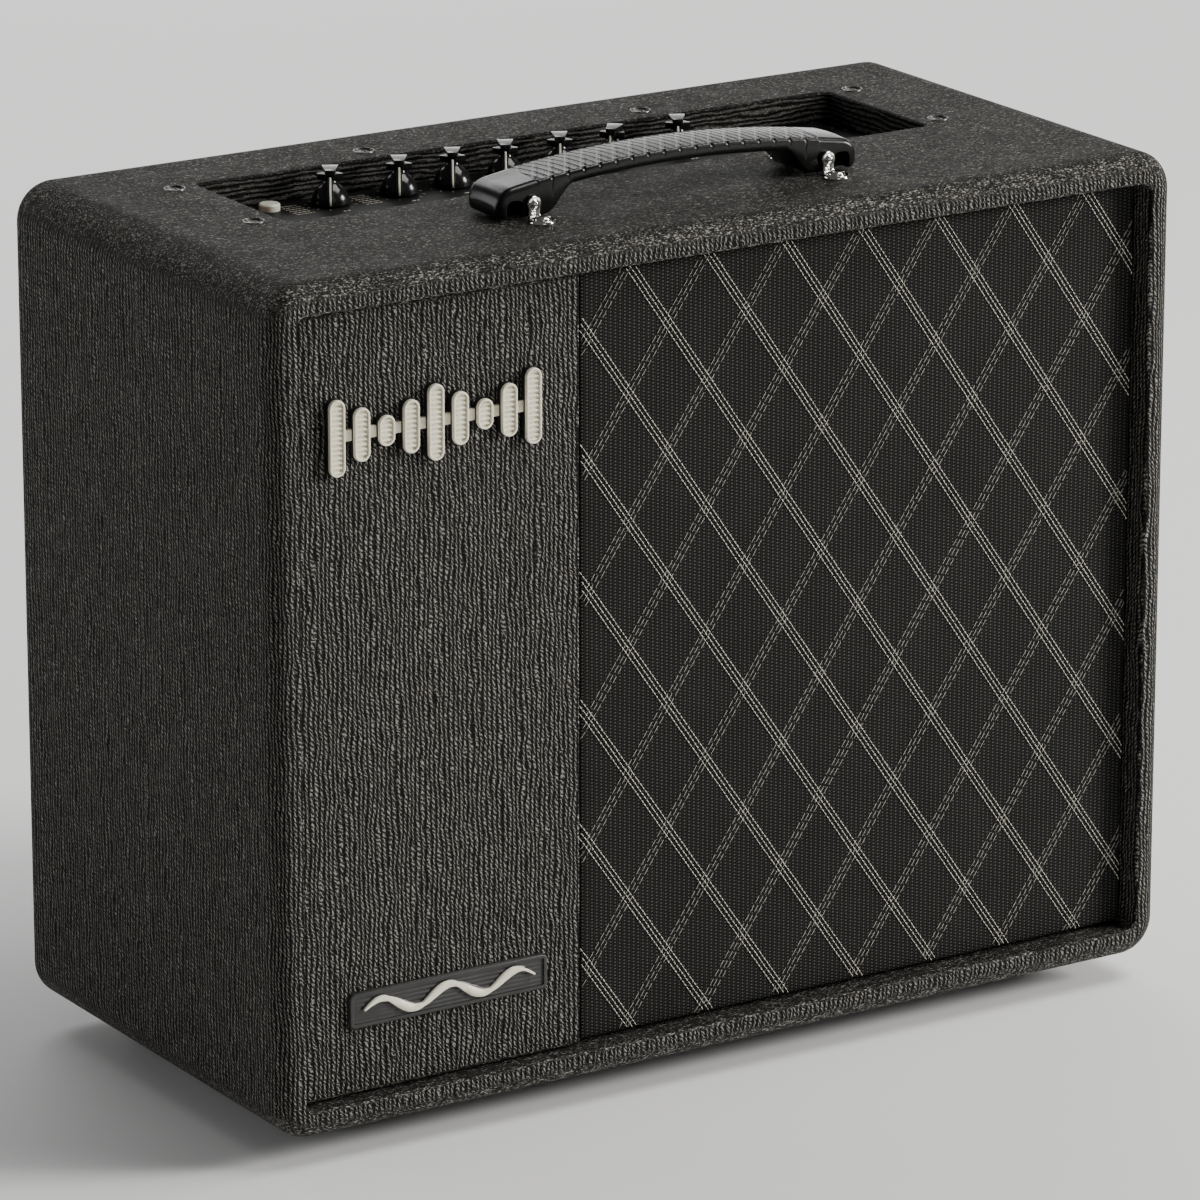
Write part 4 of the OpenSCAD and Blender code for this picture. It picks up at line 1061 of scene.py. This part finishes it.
def handle_bracket(side):
    """Two bent chrome tabs with round feet and riveted eyes, and the pin between them."""
    low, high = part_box("handle_brackets")
    middle_y = (low.y + high.y) / 2
    tab_y = (grip_high.y - grip_low.y) / 2 + 0.7 * MM
    tab_t = 1.6 * MM
    foot_y = 21 * MM
    bend = 1.9 * MM
    foot = [(0.0, 0.0), (5.75, 0.0), (5.9, 0.5), (5.75, 1.25), (5.3, 1.75), (4.4, 1.8), (3.9, 1.55),
            (0.0, 1.5)]
    eye = [(0.0, -0.8), (3.1, -0.8), (3.35, -0.5), (3.35, 0.5), (3.05, 0.85), (2.2, 0.9), (1.9, 1.2),
           (1.4, 1.9), (0.7, 2.25), (0.0, 2.3)]
    shapes = []
    for end in (-1, 1):
        strip = Shape()
        path = [(foot_y, tab_t / 2, 0.0)]
        for a in quarter(6):
            path.append((tab_y + tab_t / 2 + bend * (1 - math.sin(a)),
                         tab_t / 2 + bend * (1 - math.cos(a)), a))
        path.append((tab_y + tab_t / 2, PIN_Z - TOP, math.pi / 2))
        rings = []
        for out, z, angle in path:
            across = Vector((0, end * math.sin(angle), math.cos(angle)))
            centre = Vector((side * PIN_X, middle_y + end * out, TOP + z))
            rings.append([centre + Vector((a, 0, 0)) + across * b
                          for a, b in corner_arcs(2.75 * MM, tab_t / 2, 0.45 * MM, 3)])
        strip.loft(rings, caps=True)
        shapes.append(strip)
        spin = Matrix.Translation((side * PIN_X, middle_y + end * foot_y, TOP))
        shapes.append(lathe([(max(r, 0.01) * MM, h * MM) for r, h in foot], 40, spin))
        turn = Matrix.Rotation(math.radians(-90 * end), 4, "X")
        spin = Matrix.Translation((side * PIN_X, middle_y + end * (tab_y + tab_t / 2), PIN_Z)) @ turn
        shapes.append(lathe([(max(r, 0.01) * MM, h * MM) for r, h in eye], 32, spin))
    turn = Matrix.Rotation(math.radians(-90), 4, "X")
    spin = Matrix.Translation((side * PIN_X, middle_y, PIN_Z)) @ turn
    shapes.append(lathe([(2 * MM, -tab_y - 0.5 * MM), (2 * MM, tab_y + 0.5 * MM)], 24, spin))
    return shapes


def join_shapes(shapes, name, finishes):
    joined = Shape()
    for s in shapes:
        start = len(joined.points)
        joined.points += s.points
        joined.faces += [[i + start for i in f] for f in s.faces]
        joined.finish_of_face += s.finish_of_face
    return joined.mesh(name, finishes)


def handle_brackets():
    shapes = handle_bracket(-1) + handle_bracket(1)
    mesh = join_shapes(shapes, "handle_mounts", [FINISHES["bright_chrome"]])
    place_piece("handle_mounts", mesh, replaces=["handle_brackets"], sharp=40)


def screw_head(centre, radius, rise, turn):
    """A domed screw head standing on centre, with a straight slot turned by turn."""
    slot_w = 0.9 * MM
    profile = [(0.01 * MM, -0.4 * MM), (radius, -0.4 * MM)]
    profile += [(radius * a, rise * b) for a, b in ((1, 0.3), (0.93, 0.62), (0.72, 0.86), (0.4, 0.98))]
    profile.append((0.01 * MM, rise))
    spin = Matrix.Translation(centre) @ Matrix.Rotation(turn, 4, "Z")
    head = lathe(profile, 32, spin).mesh("head", [])
    slot = prism(corner_arcs(radius * 1.1, slot_w / 2, 0.1 * MM, 2), rise * 0.35, rise * 1.5)
    slot.points = [spin @ p for p in slot.points]
    return combine(head, [slot.mesh("slot", [])], "DIFFERENCE")


def one_finish(mesh, finish):
    mesh.materials.clear()
    mesh.materials.append(finish)
    mesh.polygons.foreach_set("material_index", [0] * len(mesh.polygons))
    mesh.polygons.foreach_set("use_smooth", [True] * len(mesh.polygons))
    return mesh


def merge_meshes(meshes, name, finish):
    bm = bmesh.new()
    for mesh in meshes:
        bm.from_mesh(mesh)
    merged = bpy.data.meshes.new(name)
    bm.to_mesh(merged)
    bm.free()
    return one_finish(merged, finish)


def handle_screws():
    low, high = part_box("handle_screws")
    meshes = []
    head_r = 3.8 * MM
    for x in (low.x + head_r, high.x - head_r):
        for y in (low.y + head_r, high.y - head_r):
            foot = Vector((x, y, TOP + 1.6 * MM))
            meshes.append(screw_head(foot, head_r - 0.1 * MM, 1.7 * MM, dice.uniform(0, TURN)))
    mesh = merge_meshes(meshes, "handle_screw_heads", FINISHES["bright_chrome"])
    place_piece("handle_screw_heads", mesh, replaces=["handle_screws"], sharp=40)


# ---- Knobs ----

KNOB_JOINTS = [joint for joint in frame["joints"] if joint["child"].startswith("knob_")]


def knob_mesh():
    """A pointer knob about its own axis, its nose to -Y and its base at Z = 0."""
    skirt = [(0.01, 0.0), (7.9, 0.0), (8.25, 0.25), (8.3, 0.9), (8.25, 1.6), (8.0, 2.8), (7.55, 4.1),
             (6.9, 5.4), (6.0, 6.6), (5.0, 7.6), (4.1, 8.3), (3.3, 9.2), (2.9, 10.3), (2.75, 11.6),
             (2.7, 12.6), (0.01, 12.6)]
    parts = [lathe([(r * MM, h * MM) for r, h in skirt], 56)]
    fin = [(-9.5, 0.7), (-9.45, 2.6), (-8.9, 4.4), (-7.6, 6.4), (-6.2, 8.4), (-5.1, 10.6), (-4.4, 12.8),
           (-4.2, 14.2), (2.2, 14.2), (2.6, 9.0), (2.6, 0.7)]
    parts.append(prism(fin, -1.15, 1.15, lambda a, b, h: Vector((h, a, b))))
    head_low = [(-1.3, -4.6), (1.3, -4.6), (2.7, 5.4), (-2.7, 5.4)]
    head_high = [(-2.2, -4.9), (2.2, -4.9), (3.8, 6.3), (-3.8, 6.3)]
    head = Shape()
    head.loft([[Vector((a, b, 11.2)) for a, b in head_low], [Vector((a, b, 14.9)) for a, b in head_high],
               [Vector((a * 0.94, b * 0.96, 15.4)) for a, b in head_high]], caps=True)
    parts.append(head)
    wing = [(-5.6, -1.7), (-5.6, -0.9), (-2.4, 1.9), (2.4, 1.9), (5.6, -0.9), (5.6, -1.7), (1.4, -3.2),
            (-1.4, -3.2)]
    parts.append(prism(wing, 10.6, 13.4))
    meshes = []
    for k, part in enumerate(parts):
        if k:
            part.points = [p * MM for p in part.points]
        meshes.append(part.mesh("knob_part", []))
    thing = scratch(combine(meshes[0], meshes[1:], "UNION"))
    add_bevel(thing, 0.22 * MM, 2, 28)
    bpy.context.view_layer.update()
    smooth = baked_mesh(thing)
    bpy.data.objects.remove(thing)
    return one_finish(smooth, FINISHES["knob_plastic"])


def pointer_line_mesh():
    """The cream line down the knob's nose."""
    path = [(-9.62, 0.9), (-9.57, 2.6), (-9.02, 4.45), (-7.72, 6.45), (-6.32, 8.45), (-5.22, 10.65),
            (-4.55, 12.6)]
    half = [(-0.42, 0.35), (-0.42, 0.0), (-0.3, -0.05)]
    section = half + [(-x, back) for x, back in reversed(half)]
    shape = Shape()
    rings = [[Vector((x, y + back, z)) * MM for x, back in section] for y, z in path]
    shape.loft(rings, caps=True)
    return shape.mesh("pointer_line", [FINISHES["cream_plastic"]])


def knobs():
    body, line = knob_mesh(), pointer_line_mesh()
    for joint in KNOB_JOINTS:
        name = joint["child"]
        axis = Vector(joint["pos_m"])
        base = panel_high.z + 0.6 * MM
        rest = math.radians(-45 if name == "knob_6" else -30)
        spot = Matrix.Translation((axis.x, axis.y, base)) @ Matrix.Rotation(rest, 4, "Z")
        cap = bpy.data.objects.new(name + "_cap", body)
        mark = bpy.data.objects.new(name + "_line", line)
        for piece, slot_name in ((cap, "knob_plastic"), (mark, "cream_plastic")):
            bpy.context.scene.collection.objects.link(piece)
            piece.matrix_world = spot
            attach(piece, name)
        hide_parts(name)
        sharpen(cap, 40)


# ---- Control panel ----

def flat_mark(shape, outline, z):
    rings = [[Vector((x, y, z + h)) for x, y in outline] for h in (0, 0.06 * MM)]
    shape.loft(rings, caps=True)


def dash(shape, x, y, width, height, z):
    flat_mark(shape, [(x + a, y + b) for a, b in corner_arcs(width / 2, height / 2, height * 0.3, 2)], z)


def ticks(shape, x, y, z):
    """Eleven radial marks round a knob at x, y."""
    inner, outer, half = 10.0 * MM, 11.3 * MM, 0.17 * MM
    for k in range(11):
        angle = math.radians(-120 - 30 * k)
        out = Vector((math.cos(angle), math.sin(angle)))
        side = Vector((-out.y, out.x)) * half
        corners = [out * inner - side, out * outer - side, out * outer + side, out * inner + side]
        flat_mark(shape, [(x + c.x, y + c.y) for c in corners], z)


def panel_legends():
    """Pale printed marks: ticks round each knob, short dashes above them and two lists of dashes."""
    shape = Shape()
    z = panel_high.z
    for joint in KNOB_JOINTS:
        knob_x, knob_y = joint["pos_m"][:2]
        ticks(shape, knob_x, knob_y, z)
        word = [dice.uniform(1.6, 3.4) * MM for _ in range(2)]
        x = knob_x - sum(word) / 2
        for w in word:
            dash(shape, x + w / 2, knob_y - 13.8 * MM, w - 0.5 * MM, 1.1 * MM, z)
            x += w
    first = frame["joints"][0]["pos_m"]
    for side, length in ((-1, 9.5), (1, 9.0)):
        for row in range(6):
            x = first[0] + side * 12.5 * MM - (length * MM if side < 0 else 0)
            y = first[1] + (6.5 - 3.0 * row) * MM
            end = x + length * MM
            while x < end - 0.8 * MM:
                w = min(end - x, dice.uniform(0.9, 2.6) * MM)
                dash(shape, x + w / 2, y, w - 0.3 * MM, 0.75 * MM, z)
                x += w
    for k in range(3):
        for row in range(2):
            dash(shape, (-98 + 34 * k) * MM, (-1 - 2.2 * row) * MM, (8 - 2.5 * row) * MM, 0.9 * MM, z)
    for k in range(3):
        dash(shape, (158 + 3 * k) * MM, (52 - 6 * k) * MM, 1.6 * MM, 0.8 * MM, z)
    place_piece("panel_legends", shape.mesh("panel_legends", [FINISHES["panel_print"]]))


# ---- CAD nodes that stay: finishes and softened edges ----

BEVELS = {
    "back_panel": 0.8, "port_tube": 0.6, "rubber_feet": 0.8, "wood_screws": 0.3, "cup_washers": 0.25,
    "chassis_screws": 0.15, "jack_nuts": 0.35, "jack_sockets": 0.3, "preset_button": 0.25,
    "effect_button_1": 0.25, "effect_button_2": 0.25, "effect_button_3": 0.25, "power_rocker": 0.4,
    "power_switch_body": 0.4, "power_inlet": 0.3, "control_panel": 0.2, "chassis_tray": 0.3, "pot_nuts": 0.2,
    "back_battens": 0.8, "heatsink": 0.2, "speaker_magnet": 0.8, "speaker_pole": 0.5,
}


def dress_nodes():
    slots = {s["node"]: s["material_slot"] for s in frame["record"]["subparts"]}
    for name, node in frame["nodes"].items():
        node.data.materials.clear()
        node.data.materials.append(FINISHES[slots[name]])
        if name in BEVELS:
            add_bevel(node, BEVELS[name] * MM, 2, 32)


# ---- Stage, light and camera ----

FLOOR_REACH = 9


def stage():
    """A plain pale floor."""
    pale = Finish("floor_pale", 0.7)
    pale.colour(pale.ramp(pale.noise(400.0, 2.0), [(0.3, (0.92, 0.92, 0.92)), (0.7, (0.94, 0.94, 0.94))]))
    corners = [(x * FLOOR_REACH, y * FLOOR_REACH) for x, y in ((-1, -1), (1, -1), (1, 1), (-1, 1))]
    floor = Shape()
    floor.face(floor.ring([Vector((x, y, 0)) for x, y in corners]))
    plane = bpy.data.objects.new("floor", floor.mesh("floor", [pale.material], tidy=False))
    bpy.context.scene.collection.objects.link(plane)


def area_light(name, place, target, size, power, colour):
    light = bpy.data.lights.new(name, "AREA")
    light.shape = "RECTANGLE"
    light.size, light.size_y = size
    light.energy = power
    light.color = colour
    lamp = bpy.data.objects.new(name, light)
    lamp.location = place
    lamp.rotation_euler = (Vector(target) - Vector(place)).to_track_quat("-Z", "Y").to_euler()
    bpy.context.scene.collection.objects.link(lamp)


MIDDLE = (0, 0, 0.2)
WARM = (1, 0.99, 0.97)
LIGHTS = [          # name, place, target, size, watts, colour
    ("key", (2.7, -1.75, 1.25), MIDDLE, (0.9, 0.9), 135, (1, 0.985, 0.955)),
    ("top", (1.15, -0.6, 2.5), MIDDLE, (1.4, 1.2), 45, WARM),
    ("back", (1.6, 3.2, 1.3), MIDDLE, (4.0, 2.0), 30, WARM),
    ("front", (-0.5, -2.6, 1.2), MIDDLE, (1.0, 1.0), 3, WARM),
    ("horizon", (2.6, 3.7, 0.4), MIDDLE, (3.0, 0.7), 14, (1, 1, 1)),
    ("side", (-2.6, 2.4, 0.9), MIDDLE, (2.0, 1.6), 30, (1, 1, 1)),
    ("wash", (0.6, 3.4, 2.6), (0.6, 3.0, 0), (3.0, 1.5), 60, (1, 1, 1)),
]
SKY = 0.09


def lighting():
    for light in LIGHTS:
        area_light(*light)
    world = bpy.data.worlds.new("studio")
    bpy.context.scene.world = world
    world.use_nodes = True
    sky = world.node_tree.nodes["Background"].inputs
    sky["Color"].default_value = (1, 1, 1, 1)
    sky["Strength"].default_value = SKY


AZIMUTH, ELEVATION = math.radians(-32.43), math.radians(17.062)
DISTANCE = 3.1929
TARGET = Vector((0.00135, 0, 0.18565))
LENS = 218.0


def camera():
    """Looks at the target from the azimuth and elevation above."""
    back = Vector((math.sin(AZIMUTH) * math.cos(ELEVATION), -math.cos(AZIMUTH) * math.cos(ELEVATION),
                   math.sin(ELEVATION)))
    data = bpy.data.cameras.new("camera")
    data.lens = LENS
    data.sensor_width = 36
    data.clip_end = 50
    eye = bpy.data.objects.new("camera", data)
    eye.location = TARGET + back * DISTANCE
    eye.rotation_euler = (-back).to_track_quat("-Z", "Y").to_euler()
    bpy.context.scene.collection.objects.link(eye)
    bpy.context.scene.camera = eye


camera()
FINISHES = make_finishes()
dress_nodes()
cover()
opening_lining()
front_strip()
cloth = grille_cloth()
threads = lattice_threads()
badge()
nameplate()
handle()
handle_brackets()
handle_screws()
knobs()
panel_legends()
stage()
lighting()
